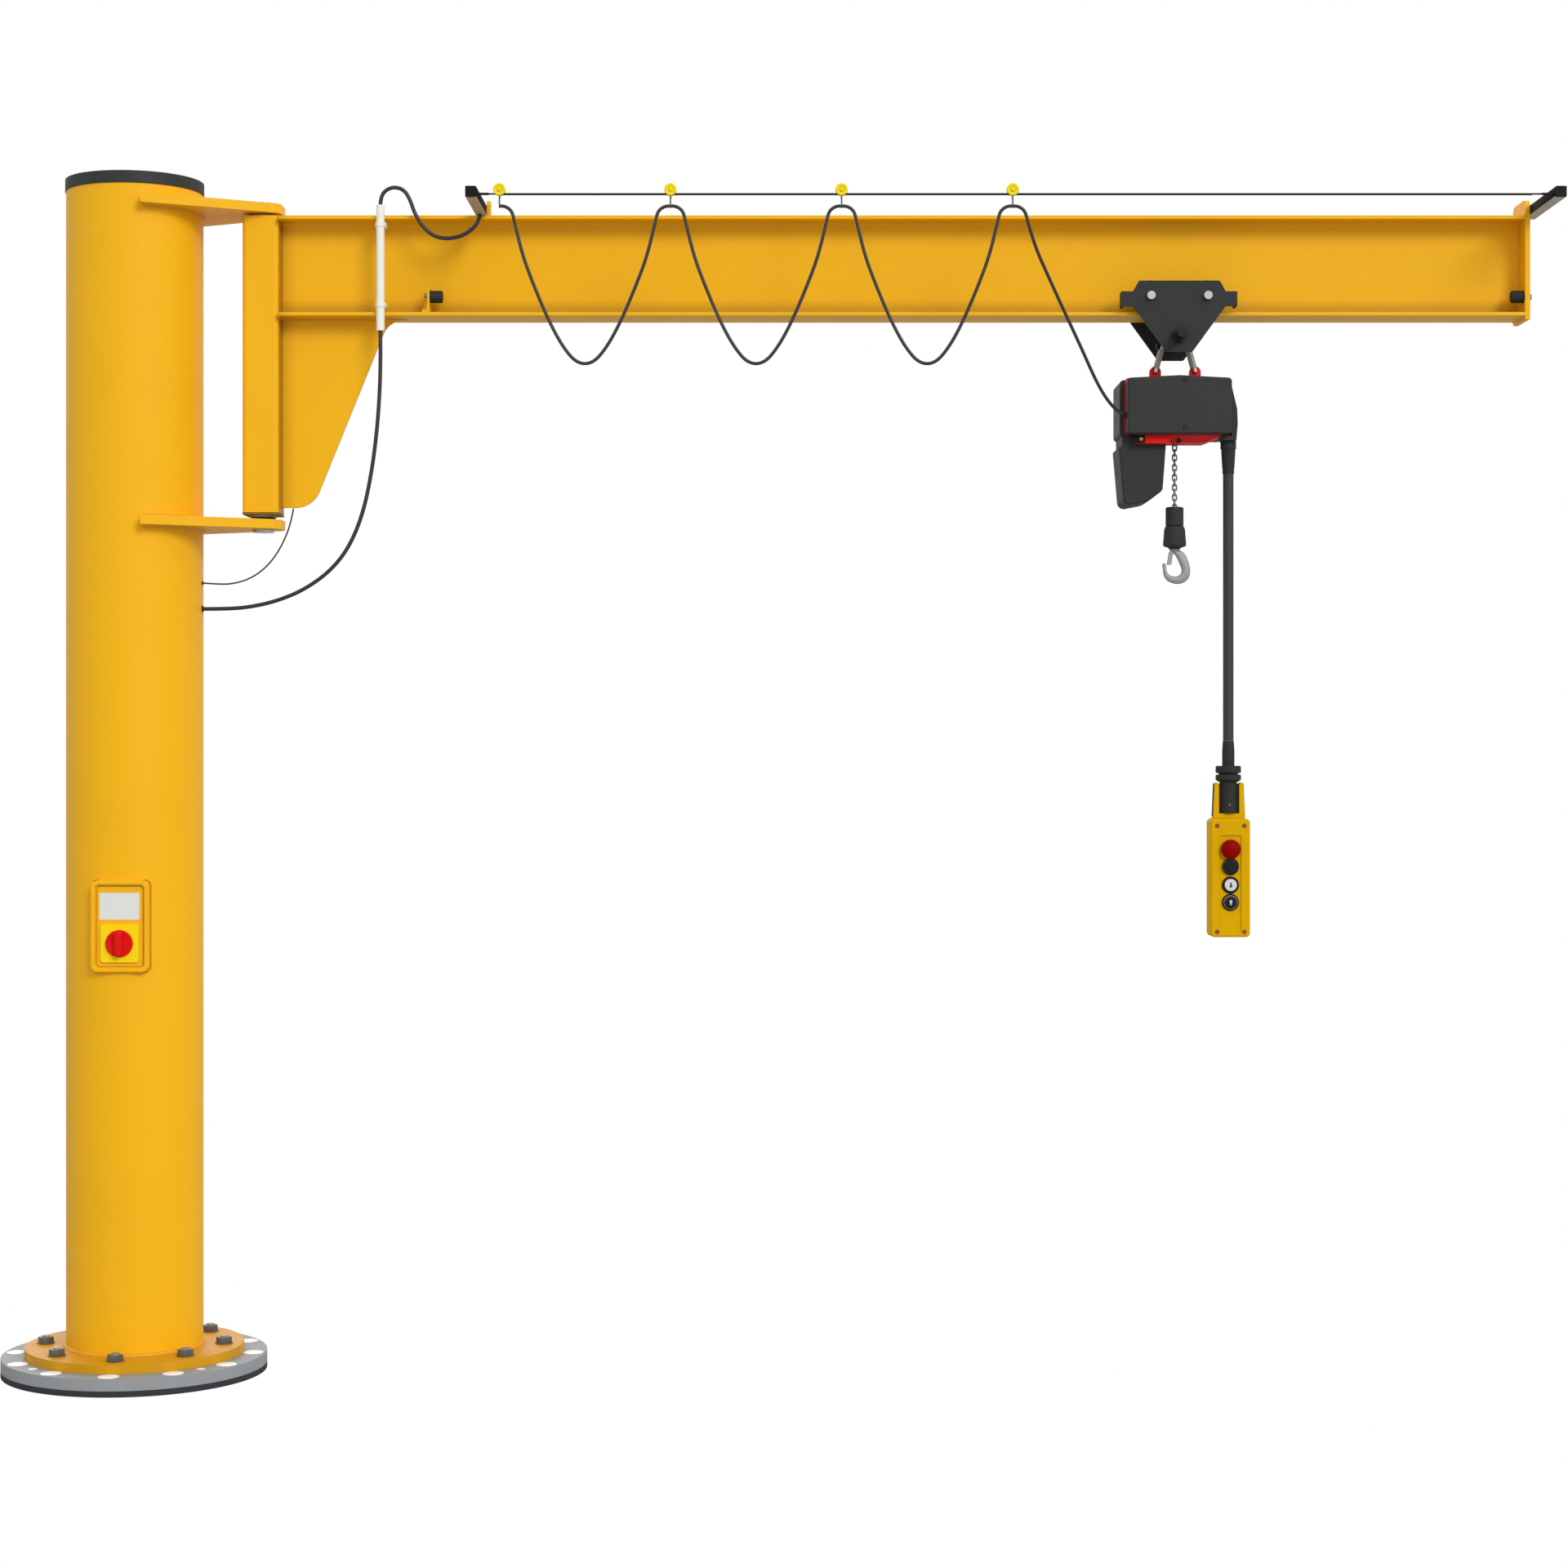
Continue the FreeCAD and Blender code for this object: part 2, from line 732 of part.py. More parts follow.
write("arm_caps",
      rail_cap(inner_rail_x, inner_rail_z, rail_near_y, -1),
      rail_cap(outer_rail_x, inner_rail_z, rail_near_y, -1),
      rail_cap(inner_rail_x, inner_rail_z, inner_rail_far_y, 1),
      rail_cap(outer_rail_x, inner_rail_z, outer_rail_far_y, 1))

lug_x = inner_rail_x + rail_size + seat
lug_outline = [
    (lug_near_y, inner_rail_z, 0), (lug_far_y, inner_rail_z, 0),
    (lug_far_y, inner_rail_z + lug_height, lug_corner), (lug_near_y, inner_rail_z + lug_height, lug_corner),
]
write("arm_lug", end_prism(lug_outline, lug_x, lug_x + lug_thickness))

# Tension wire, held by a head behind each rail's lips

wire_start_x = inner_rail_x + rail_size - rail_wall - seat
wire_end_x = outer_rail_x + rail_wall + seat
rail_middle_z = inner_rail_z + rail_size / 2


def wire_anchor(inner_face_x, outward):
    """A head behind the rail's lips and a swaged ferrule in front of them."""
    low, high = sorted((inner_face_x, inner_face_x + outward * wire_head_thickness))
    head = box(low, high, wire_y - wire_head_half, wire_y + wire_head_half, rail_middle_z - wire_head_half,
               rail_middle_z + wire_head_half)
    root = V(inner_face_x - outward * (rail_wall + 2 * seat), wire_y, wire_z)
    return [head, rod(ferrule_radius, root, root - X_AXIS * outward * ferrule_length)]


tension_wire = rod(wire_radius, V(wire_start_x, wire_y, wire_z), V(wire_end_x, wire_y, wire_z))
write("tension_wire", fuse([tension_wire] + wire_anchor(wire_start_x, -1) + wire_anchor(wire_end_x, 1)))

# Cable trolleys: a grooved roller on a bent hanger, with a ring for the cable

roller_axis_z = wire_z + wire_radius + seat + roller_groove_radius
clip_inner = festoon_diameter / 2 + seat
clip_outer = clip_inner + clip_wall


def cable_trolley(x):
    """A roller that rides on the wire, and the hanger that carries the cable: a strip behind the roller, bent
    forward under the wire, with a ring for the cable at its foot."""
    half = roller_width / 2
    shoulder = half - roller_flat
    outline = [V(x, wire_y + along, roller_axis_z + radius) for along, radius in (
        (-half, roller_bore), (-half, roller_radius), (-shoulder, roller_radius),
        (-groove_half_width, roller_groove_radius), (groove_half_width, roller_groove_radius),
        (shoulder, roller_radius), (half, roller_radius), (half, roller_bore))]
    roller = facet(outline).revolve(V(x, wire_y, roller_axis_z), Y_AXIS, 360)
    face = half + seat
    left = x - hanger_width / 2
    right = x + hanger_width / 2
    back = wire_y + face + hanger_thickness
    pin_front = V(x, wire_y - face, roller_axis_z)
    solids = [
        side_prism(rounded(left, right, hanger_foot_z, roller_axis_z + roller_hub_radius, hanger_width * 0.3),
                   wire_y + face, back),
        box(left, right, wire_y - hanger_thickness / 2, back, hanger_foot_z, hanger_foot_z + hanger_foot_thickness),
        box(left, right, wire_y - hanger_thickness / 2, wire_y + hanger_thickness / 2,
            clip_z + clip_inner + clip_wall / 2, hanger_foot_z + hanger_foot_thickness / 2),
        rod(roller_bore - seat, pin_front, V(x, back, roller_axis_z)),
        rod(roller_hub_radius, pin_front, pin_front - Y_AXIS * hanger_thickness),
        ring(clip_outer, clip_inner, V(x - clip_length / 2, wire_y, clip_z),
             V(x + clip_length / 2, wire_y, clip_z)),
    ]
    return roller, fuse(solids)


clip_positions = [first_clip_x + clip_spacing * i for i in range(clip_count)]
write("cable_clip_fixed", *cable_trolley(clip_positions[0]))
for i in range(1, clip_count):
    write("cable_trolley_%d" % (i + 1), *cable_trolley(clip_positions[i]))

# White conduit that carries the supply past the beam

conduit_y = -beam_half - conduit_radius - seat
conduit = ring(conduit_radius, conduit_radius - conduit_wall, V(conduit_x, conduit_y, conduit_bottom),
               V(conduit_x, conduit_y, conduit_top))
write("cable_conduit", conduit)

# Festoon loops between the clips. Each point is (along the span, below the clip).

festoon_half = [
    (0, 0), (9.8, 0), (20.9, -3.3), (31.1, -10.5), (38.3, -21.1), (45.5, -52), (69, -149), (105, -243), (146, -339),
    (186, -412), (226, -458),
]
festoon_shape = festoon_half + [(clip_spacing - along, rise) for along, rise in reversed(festoon_half)]
for i in range(clip_count - 1):
    cord("festoon_loop_%d" % (i + 1),
         [(clip_positions[i] + along, wire_y, clip_z + rise) for along, rise in festoon_shape],
         festoon_diameter)

# Last length of the festoon, from the last clip to the gland on the hoist's left side

# Points are (right of the clip, Y, below the clip); the last one enters the grommet in the front cover's side.

festoon_entry_y = -92.5
festoon_entry_z = hoist_top - 112.5
festoon_end_clearance = 3.6
grommet_depth = 4.0
grommet_radius = 10.0
grommet_bore = festoon_diameter * 0.75
last_clip_x = clip_positions[-1]
festoon_drop_shape = [
    (0, -350, 0), (9.8, -350, 0), (20.9, -349.7, -3.3), (30.8, -348.6, -10.2), (38.4, -346, -20.6),
    (49, -339, -60),
    (72, -320, -123), (99, -298, -176), (155, -254, -284), (213, -208, -392), (257, -173, -479), (287, -146, -525),
    (314, -117, -553), (336, -98, -569),
]
festoon_drop_route = [(last_clip_x + across, y, clip_z + rise) for across, y, rise in festoon_drop_shape]
festoon_drop_route.append((hoist_left - festoon_end_clearance, festoon_entry_y, festoon_entry_z))
cord("festoon_drop", festoon_drop_route, festoon_diameter)

# Supply cable from the column up to the conduit, loose enough for the jib to turn

# Points are (X, Y, above the exit); the last one enters the conduit.

cable_start_x = column_radius + gland_length + seat
supply_lower_shape = [
    (cable_start_x, 0, 0), (285, 0, 0), (356, -7, 6.5), (434, -16, 24), (516, -24, 57), (596, -33, 113),
    (654.5, -43, 185), (697, -53, 286), (722.5, -63, 400), (739, -72, 512), (749, -80, 620), (754, -86.5, 725),
]
supply_lower_route = [(x, y, supply_exit_z + rise) for x, y, rise in supply_lower_shape]
supply_lower_route.append((conduit_x, conduit_y, conduit_bottom))
cord("supply_cable_lower", supply_lower_route, supply_diameter)

# Supply cable from the conduit over to the underside of the inner rail.
# Points are (right of the conduit, Y, above the conduit's top).

supply_upper_shape = [
    (0, conduit_y, 0), (1, -88, 24.5), (16.5, -89.5, 45.8), (43.1, -92, 54.3), (71.5, -94, 45),
    (89.5, -95.5, 16.5), (104.5, -96.5, -29), (131.5, -97, -71), (164.5, -97, -96), (203.5, -97, -102), (244.5, -97, -94),
    (277.5, -97, -73), (294.5, -97, -49),
]
supply_upper_route = [(conduit_x + across, y, conduit_top + rise) for across, y, rise in supply_upper_shape]
supply_upper_route.append((upper_supply_end_x, upper_supply_y, inner_rail_z - cable_end_clearance))
cord("supply_cable_upper", supply_upper_route, supply_diameter)

# Earth cable from the column to the lower edge of the haunch plate. Points are (X, Y, above the exit).

earth_shape = [
    (cable_start_x, 0, 0), (262, 0, -4), (300, 1, -1), (338, 1.5, 10), (374, 2, 30), (406, 2, 59),
    (433, 2, 96), (454, 2, 137), (470, 1, 180),
]
earth_route = [(x, y, earth_exit_z + rise) for x, y, rise in earth_shape]
earth_route.append((earth_end_x, 0, haunch_bottom - cable_end_clearance))
cord("earth_cable", earth_route, earth_diameter)

# Main switch on the column: a moulded frame, a plate and a rotary knob


def on_column_front(width, height, centre_z, corner, depth_from, depth_to):
    """A rounded block on the -Y side of the column."""
    outline = rounded(-width / 2, width / 2, centre_z - height / 2, centre_z + height / 2, corner)
    return side_prism(outline, -depth_to, -depth_from)


switch_frame = on_column_front(switch_frame_width, switch_frame_height, switch_z, switch_frame_corner,
                               column_radius * 0.7, switch_frame_front)
switch_recess_floor = switch_frame_front - switch_recess_depth
switch_recess = on_column_front(switch_frame_width - 2 * switch_frame_rim,
                                switch_frame_height - 2 * switch_frame_rim, switch_z, switch_frame_corner * 0.6,
                                switch_recess_floor, switch_frame_front + 1)
switch_frame = switch_frame.cut(switch_recess)
switch_rim = [edge for edge in switch_frame.Edges
              if abs(edge.CenterOfMass.y + switch_frame_front) < 0.01 and edge.BoundBox.YLength < 0.01]
switch_frame = switch_frame.makeFillet(switch_frame_edge, switch_rim)
column_envelope = rod(column_radius + seat, V(0, 0, flange_top), V(0, 0, column_top))
write("switch_frame", switch_frame.cut(column_envelope))

isolator_back = switch_recess_floor + seat
isolator_front = isolator_back + isolator_plate_thickness
isolator_plate = on_column_front(isolator_plate_width, isolator_plate_height, isolator_z, isolator_plate_corner,
                                 isolator_back, isolator_front)
write("isolator_plate", isolator_plate)

knob_back = isolator_front + seat
knob_base_front = knob_back + knob_base_thickness
knob_base = rod(knob_radius, V(0, -knob_back, isolator_z), V(0, -knob_base_front, isolator_z))
knob_grip = on_column_front(knob_grip_width, knob_radius * 1.9, isolator_z, knob_grip_width * 0.45,
                            knob_base_front - 1, knob_base_front + knob_grip_height)
write("isolator_knob", fuse([knob_base, knob_grip]))

# Hoist trolley: two side plates with folded ears, four flanged wheels, axles and the suspension bar

axle_z = flange_low_top + seat + wheel_radius


def trolley_plate(side):
    outer = side * trolley_plate_outer_y
    inner = side * (trolley_plate_outer_y - trolley_plate_thickness)
    low, high = sorted((outer, inner))
    left_half = [
        (-trolley_top_half, trolley_top, trolley_top_corner), (-ear_shoulder, ear_top, 0),
        (-ear_reach, ear_top, 0), (-ear_reach, ear_bottom, 0), (-ear_shoulder, ear_bottom, 0),
        (-trolley_foot_half, trolley_foot, trolley_foot_corner),
    ]
    outline = [(hoist_x + across, z, corner) for across, z, corner in left_half]
    outline += [(hoist_x - across, z, corner) for across, z, corner in reversed(left_half)]
    plate = side_prism(outline, low, high)
    ear_low, ear_high = sorted((side * ear_inner_y, side * (trolley_plate_outer_y - 1)))
    for end in (-1, 1):
        left, right = sorted((hoist_x + end * ear_reach, hoist_x + end * (ear_reach - ear_fold)))
        plate = plate.fuse(box(left, right, ear_low, ear_high, ear_bottom, ear_top))
        axle_x = hoist_x + end * wheel_offset_x
        plate = plate.cut(rod(axle_radius + seat, V(axle_x, low - 1, axle_z), V(axle_x, high + 1, axle_z)))
    plate = plate.cut(rod(bar_radius + seat, V(hoist_x, low - 1, bar_z), V(hoist_x, high + 1, bar_z)))
    return plate.removeSplitter()


write("trolley_plates", trolley_plate(-1), trolley_plate(1))


def trolley_wheel(x, side):
    """A wheel whose tread rolls on the lower flange and whose rim runs beside its edge."""
    tread = ring(wheel_radius, wheel_bore, V(x, side * wheel_tread_inner_y, axle_z),
                 V(x, side * wheel_outer_y, axle_z))
    rim = ring(wheel_flange_radius, wheel_bore, V(x, side * wheel_flange_inner_y, axle_z),
               V(x, side * wheel_outer_y, axle_z))
    return fuse([tread, rim])


wheel_places = [(hoist_x + end * wheel_offset_x, side) for end in (-1, 1) for side in (-1, 1)]
write("trolley_wheels", *[trolley_wheel(x, side) for x, side in wheel_places])


def wheel_axle(x, side):
    inner = V(x, side * (wheel_tread_inner_y - 3), axle_z)
    head_face = V(x, side * (trolley_plate_outer_y + seat), axle_z)
    outer = V(x, side * (trolley_plate_outer_y + axle_head_length), axle_z)
    spacer_from = V(x, side * (wheel_outer_y + seat), axle_z)
    spacer_to = V(x, side * (trolley_plate_outer_y - trolley_plate_thickness - seat), axle_z)
    return fuse([rod(axle_radius, inner, outer), rod(axle_head_radius, head_face, outer),
                 rod(axle_spacer_radius, spacer_from, spacer_to)])


write("wheel_axles", *[wheel_axle(x, side) for x, side in wheel_places])

# Suspension bar under the beam, with the yoke plate that the links hang on

plate_inner_y = trolley_plate_outer_y - trolley_plate_thickness - seat
bar = rod(bar_radius, V(hoist_x, -bar_reach, bar_z), V(hoist_x, bar_reach, bar_z))
sleeve = rod(bar_sleeve_radius, V(hoist_x, -plate_inner_y, bar_z), V(hoist_x, plate_inner_y, bar_z))
bar_nuts = [
    rod(bar_sleeve_radius, V(hoist_x, side * (trolley_plate_outer_y + seat), bar_z),
        V(hoist_x, side * (trolley_plate_outer_y + bar_nut_length), bar_z)) for side in (-1, 1)
]
yoke_bottom = link_pin_z - yoke_plate_height / 2 + 1
yoke_plate = side_prism(rounded(hoist_x - yoke_plate_half, hoist_x + yoke_plate_half, yoke_bottom,
                                yoke_bottom + yoke_plate_height, yoke_plate_corner),
                        -yoke_plate_thickness / 2, yoke_plate_thickness / 2)
for end in (-1, 1):
    hole_centre = V(hoist_x + end * link_pin_x, 0, link_pin_z)
    hole_reach = V(0, yoke_plate_thickness, 0)
    yoke_plate = yoke_plate.cut(rod(link_bar_radius + seat, hole_centre - hole_reach, hole_centre + hole_reach))
write("suspension_bar", fuse([bar, sleeve, yoke_plate] + bar_nuts))


def suspension_link(end):
    """A closed link: a pin through the yoke plate, a pin through the housing's eye, and two side bars."""
    top = V(hoist_x + end * link_pin_x, 0, link_pin_z)
    foot = V(hoist_x + end * link_eye_x, 0, link_eye_z)
    aside = V(0, link_half_width, 0)
    pieces = [rod(link_bar_radius, top - aside, foot - aside), rod(link_bar_radius, top + aside, foot + aside),
              rod(link_bar_radius, top - aside, top + aside), rod(link_bar_radius, foot - aside, foot + aside)]
    for centre in (top, foot):
        for side in (-1, 1):
            pieces.append(Part.makeSphere(link_bar_radius, centre + aside * side))
    return fuse(pieces)


write("suspension_links", suspension_link(-1), suspension_link(1))

# Hoist body: a cast housing between two moulded covers


def hoist_section(left, right, bottom, top, y0, y1, corner):
    outline = [(left, bottom, corner), (right, bottom, corner), (right, top, corner), (left, top, corner)]
    return side_prism(outline, y0, y1)


housing_front_y = seam_front_y - cover_depth
housing_rear_y = hoist_half_depth - cover_depth
housing_low = hoist_cover_bottom + cover_skin
housing_high = hoist_top - cover_skin
housing_body = hoist_section(hoist_left + seam_lip, hoist_right - seam_lip, housing_low, housing_high,
                             housing_front_y, housing_rear_y, housing_corner)
seam_band = hoist_section(hoist_left - seam_lip, hoist_right + seam_lip, hoist_cover_bottom - seam_lip,
                          hoist_top + seam_lip, seam_front_y, seam_rear_y, cover_corner)
foot_top = hoist_cover_bottom + housing_foot_overlap
housing_foot = side_prism([
    (housing_foot_left, foot_top, 0), (housing_foot_left, housing_bottom, housing_corner),
    (housing_foot_right, housing_bottom, housing_corner),
    (housing_heel_right, hoist_cover_bottom - seam_lip, 0),
    (housing_heel_right, foot_top, 0)], housing_foot_front_y, housing_foot_rear_y)
housing_lip = box(housing_foot_left, housing_lip_right, housing_foot_front_y, container_front_y - seat,
                  housing_lip_bottom, foot_top)
front_slope = end_prism([
    (housing_foot_front_y - 1, housing_bottom - 1, 0), (housing_foot_slope_y, housing_bottom - 1, 0),
    (housing_foot_slope_y, housing_bottom, 0), (housing_foot_front_y - 1, hoist_cover_bottom - seam_lip, 0)],
    housing_lip_right, housing_heel_right + 1)
container_window = box(container_left - container_bulge - seat, container_right + seat, container_front_y - seat,
                       container_rear_y + seat, housing_lip_bottom - 1, container_top + seat)
eye_half = eye_thickness / 2
eyes = []
for end in (-1, 1):
    eye_x = hoist_x + end * link_eye_x
    eyes.append(rod(eye_radius, V(eye_x, -eye_half, link_eye_z), V(eye_x, eye_half, link_eye_z)))
    eyes.append(box(eye_x - eye_radius, eye_x + eye_radius, -eye_half, eye_half, housing_high - 1, link_eye_z))
housing = fuse([housing_body, seam_band, housing_foot.cut(front_slope), housing_lip] + eyes)
for end in (-1, 1):
    eye_x = hoist_x + end * link_eye_x
    housing = housing.cut(rod(eye_bore, V(eye_x, -eye_thickness, link_eye_z),
                              V(eye_x, eye_thickness, link_eye_z)))
mouth_top = housing_bottom + chain_mouth_depth
chain_shaft = rod(chain_shaft_radius, V(chain_x, 0, mouth_top), V(chain_x, 0, hoist_top - chain_shaft_roof))
chain_mouth = rod(chain_width / 2 + seat, V(chain_x, 0, housing_bottom - 1), V(chain_x, 0, mouth_top))
housing = housing.cut(chain_shaft).cut(chain_mouth).cut(container_window)
write("hoist_housing", housing)


def cover(left, right, seam_y, outer_y, pocket_y):
    """A shell that closes over the housing, with rounded outer edges and a crowned top."""
    low, high = sorted((seam_y, outer_y))
    bottom = hoist_cover_bottom
    shoulder = hoist_top - hoist_crown
    block = side_prism([(left, bottom, cover_corner), (right, bottom, cover_corner),
                        (right, shoulder, cover_corner), (hoist_x, hoist_top + hoist_crown, 0),
                        (left, shoulder, cover_corner)], low, high)
    rim = [edge for edge in block.Edges
           if abs(edge.CenterOfMass.y - outer_y) < 0.01 and edge.BoundBox.YLength < 0.01]
    block = block.makeFillet(cover_corner * 0.6, rim)
    pocket_low, pocket_high = sorted((seam_y, pocket_y))
    pocket = box(hoist_left + seam_lip - seat, hoist_right - seam_lip + seat, pocket_low, pocket_high,
                 housing_low - seat, housing_high + seat)
    return block.cut(pocket)


front_cover = cover(hoist_left, hoist_right, seam_front_y - seat, -hoist_half_depth, housing_front_y - seat)
rear_cover = cover(hoist_left - rear_cover_extra, hoist_right, seam_rear_y + seat, hoist_half_depth,
                   housing_rear_y + seat)
cover_rooms = [box(housing_foot_left - seat, housing_heel_right + seat, housing_foot_front_y - seat,
                   housing_foot_rear_y + seat, housing_lip_bottom, foot_top + 2 * seat)]
for end in (-1, 1):
    eye_x = hoist_x + end * link_eye_x
    cover_rooms.append(box(eye_x - eye_radius - seat, eye_x + eye_radius + seat, -eye_half - seat,
                           eye_half + seat, housing_high, link_eye_z))
for room in cover_rooms:
    front_cover = front_cover.cut(room)
    rear_cover = rear_cover.cut(room)
write("hoist_cover_front", front_cover)
write("hoist_cover_rear", rear_cover)

# Side box on the right of the hoist, which carries the pendant's strain relief

side_box_left = hoist_right + seam_lip + seat
side_box_front_y = pendant_y - side_box_half_depth
side_box_rear_y = pendant_y + side_box_half_depth
side_box_foot = side_box_bottom - side_box_floor
side_box = side_prism([
    (side_box_left, side_box_foot, 0), (side_box_right - 4, side_box_foot, 0),
    (side_box_right, side_box_waist, 0), (side_box_right - 1.5, side_box_slope_foot, cover_corner),
    (side_box_left, side_box_top, 0)], side_box_front_y, side_box_rear_y)
side_box_tongue = box(housing_heel_right + 1, side_box_left + 1, side_box_front_y, side_box_rear_y,
                      side_box_foot, hoist_cover_bottom - seam_lip - seat)
write("hoist_side_box", fuse([side_box, side_box_tongue]))

# Chain container: a moulded bucket with a sloping floor

container_neck_z = container_top - container_bulge_drop + container_bulge / 2
container_outline = [
    (container_left, container_top, 0), (container_left, container_neck_z, 0),
    (container_left - container_bulge, container_top - container_bulge_drop, 2),
    (container_left + 5, container_low, container_corner),
    ((container_left + container_right) / 2 + 12, container_low + 14, 60),
    (container_right - 12, container_high, container_corner), (container_right, container_top, 0),
]
container = side_prism(container_outline, container_front_y, container_rear_y)
container_edges = [edge for edge in container.Edges
                   if edge.BoundBox.YLength < 0.01 and edge.CenterOfMass.z < container_top - 0.01]
write("chain_container", container.makeFillet(container_edge_radius, container_edges))

# Glands on the hoist

grommet_face = V(hoist_left - seat, festoon_entry_y, festoon_entry_z)
festoon_grommet = ring(grommet_radius, grommet_bore, grommet_face - X_AXIS * grommet_depth, grommet_face)
collar_foot = pendant_relief_top - pendant_relief_collar
taper_foot = pendant_relief_foot + 18
strain_relief = turned([
    (0, pendant_relief_top), (pendant_relief_top_radius, pendant_relief_top),
    (pendant_relief_top_radius, collar_foot), (pendant_relief_top_radius - 2, collar_foot - 2),
    (pendant_relief_foot_radius + 1, taper_foot), (pendant_relief_foot_radius, taper_foot - 2),
    (pendant_relief_foot_radius, pendant_relief_foot), (0, pendant_relief_foot)], pendant_x, pendant_y)
write("hoist_glands", festoon_grommet, strain_relief)

# Pendant: cable, gland, strap, housing and buttons

pendant_cable = rod(pendant_cable_radius, V(pendant_x, pendant_y, pendant_cable_foot + seat),
                    V(pendant_x, pendant_y, pendant_relief_foot - seat))
write("pendant_cable", pendant_cable)

edge_radius = gland_ring_radius - gland_edge
groove_radius = edge_radius - 2 * gland_edge
plug_radius = groove_radius - gland_edge
plug_foot = pendant_strap_foot + pendant_bar_height + seat
groove_top = gland_ring_top - gland_ring_height
groove_foot = groove_top - gland_groove
pendant_gland = turned([
    (0, pendant_cable_foot), (pendant_neck_top_radius, pendant_cable_foot),
    (pendant_neck_radius, pendant_cable_foot - 30), (pendant_neck_radius, gland_ring_top),
    (edge_radius, gland_ring_top), (gland_ring_radius, gland_ring_top - gland_edge),
    (gland_ring_radius, groove_top + gland_edge), (edge_radius, groove_top), (groove_radius, groove_top),
    (groove_radius, groove_foot), (edge_radius, groove_foot), (gland_ring_radius, groove_foot - gland_edge),
    (gland_ring_radius, gland_foot + 2 * gland_edge), (groove_radius, gland_foot), (plug_radius, gland_foot),
    (plug_radius, plug_foot), (0, plug_foot)], pendant_x, pendant_y)
write("pendant_gland", pendant_gland)

pendant_half = pendant_width / 2
pendant_body = side_prism(rounded(pendant_x - pendant_half, pendant_x + pendant_half, pendant_bottom,
                                  pendant_top, pendant_corner), pendant_front_y, pendant_back_y)
face_rims = [edge for edge in pendant_body.Edges if edge.BoundBox.YLength < 0.01]
pendant_body = pendant_body.makeFillet(pendant_face_edge, face_rims)
recess_half = pendant_recess_width / 2
recess = side_prism(rounded(pendant_x - recess_half, pendant_x + recess_half, pendant_recess_bottom,
                            pendant_recess_top, pendant_recess_corner),
                    pendant_front_y - 1, pendant_front_y + pendant_recess_depth)
pendant_body = pendant_body.cut(recess)
button_face_y = pendant_front_y + pendant_recess_depth
collar_front_y = button_face_y - button_collar_stand
bore_radius = button_stem_radius + seat
button_heights = [pendant_top - drop for drop in button_drops]
for height in button_heights:
    collar = rod(button_collar_radius, V(pendant_x, button_face_y + 1, height),
                 V(pendant_x, collar_front_y, height))
    bore = rod(bore_radius, V(pendant_x, collar_front_y - 1, height),
               V(pendant_x, button_face_y + button_bore_depth, height))
    pendant_body = pendant_body.fuse(collar).cut(bore)
write("pendant_body", pendant_body.removeSplitter())

strap_half = pendant_strap_width / 2
strap_inner = strap_half - pendant_strap_thickness
strap_bend_z = pendant_strap_foot + pendant_bar_height
strap_right = [(strap_half, pendant_strap_foot, 0), (strap_half, strap_bend_z, 0),
               (strap_half - pendant_strap_taper, pendant_strap_top, pendant_strap_corner),
               (strap_inner, pendant_strap_top, pendant_strap_corner), (strap_inner, strap_bend_z, 0)]
strap_outline = [(pendant_x + across, z, corner) for across, z, corner in strap_right]
strap_outline += [(pendant_x - across, z, corner) for across, z, corner in reversed(strap_right)]
write("pendant_strap", side_prism(strap_outline, pendant_y - pendant_strap_half_depth,
                                  pendant_y + pendant_strap_half_depth))

for name, height, radius, stand in zip(button_names, button_heights, button_radii, button_stand):
    cap_back = collar_front_y - seat - button_travel
    cap_front = button_face_y - stand
    stem = rod(button_stem_radius, V(pendant_x, button_face_y + button_stem_depth, height),
               V(pendant_x, cap_back - 0.5, height))
    cap_head = rod(radius, V(pendant_x, cap_back, height), V(pendant_x, cap_front, height))
    rim = [edge for edge in cap_head.Edges
           if edge.BoundBox.YLength < 0.01 and abs(edge.CenterOfMass.y - cap_front) < 0.01]
    write(name, fuse([stem, cap_head.makeChamfer(button_edge, rim)]))

# Load chain: welded links, each a quarter turn from the next

link_inner_half = (chain_pitch + seat) / 2
link_bend_radius = (chain_width - chain_wire) / 2
link_straight_half = link_inner_half + chain_wire / 2 - link_bend_radius
link_sides = 8
bend_steps = 4


def chain_link(z, across, out):
    """One link. Its flat lies in the plane of Z and the direction across."""
    rings = []
    for end in (1, -1):
        for step in range(bend_steps + 1):
            turn = math.pi * step / bend_steps
            outward = across * (end * math.cos(turn)) + Z_AXIS * (end * math.sin(turn))
            centre = V(chain_x, 0, z + end * link_straight_half) + outward * link_bend_radius
            mitre = math.cos(math.pi / bend_steps / 2) if 0 < step < bend_steps else 1.0
            ring_points = []
            for side in range(link_sides):
                angle = 2 * math.pi * (side + 0.5) / link_sides
                ring_points.append(centre + outward * (math.cos(angle) * chain_wire / 2 / mitre)
                                   + out * (math.sin(angle) * chain_wire / 2))
            rings.append(ring_points)
    return skin(rings, True)


chain_top = housing_bottom + chain_reach_in_housing
link_count = int((chain_top - chain_bottom) / chain_pitch)
links = []
for i in range(link_count):
    link_z = chain_bottom + chain_wire + link_inner_half + i * chain_pitch
    across, out = (X_AXIS, Y_AXIS) if i % 2 == 0 else (Y_AXIS, X_AXIS)
    links.append(chain_link(link_z, across, out))
write("load_chain", *links)

# Chain sleeve and hook block

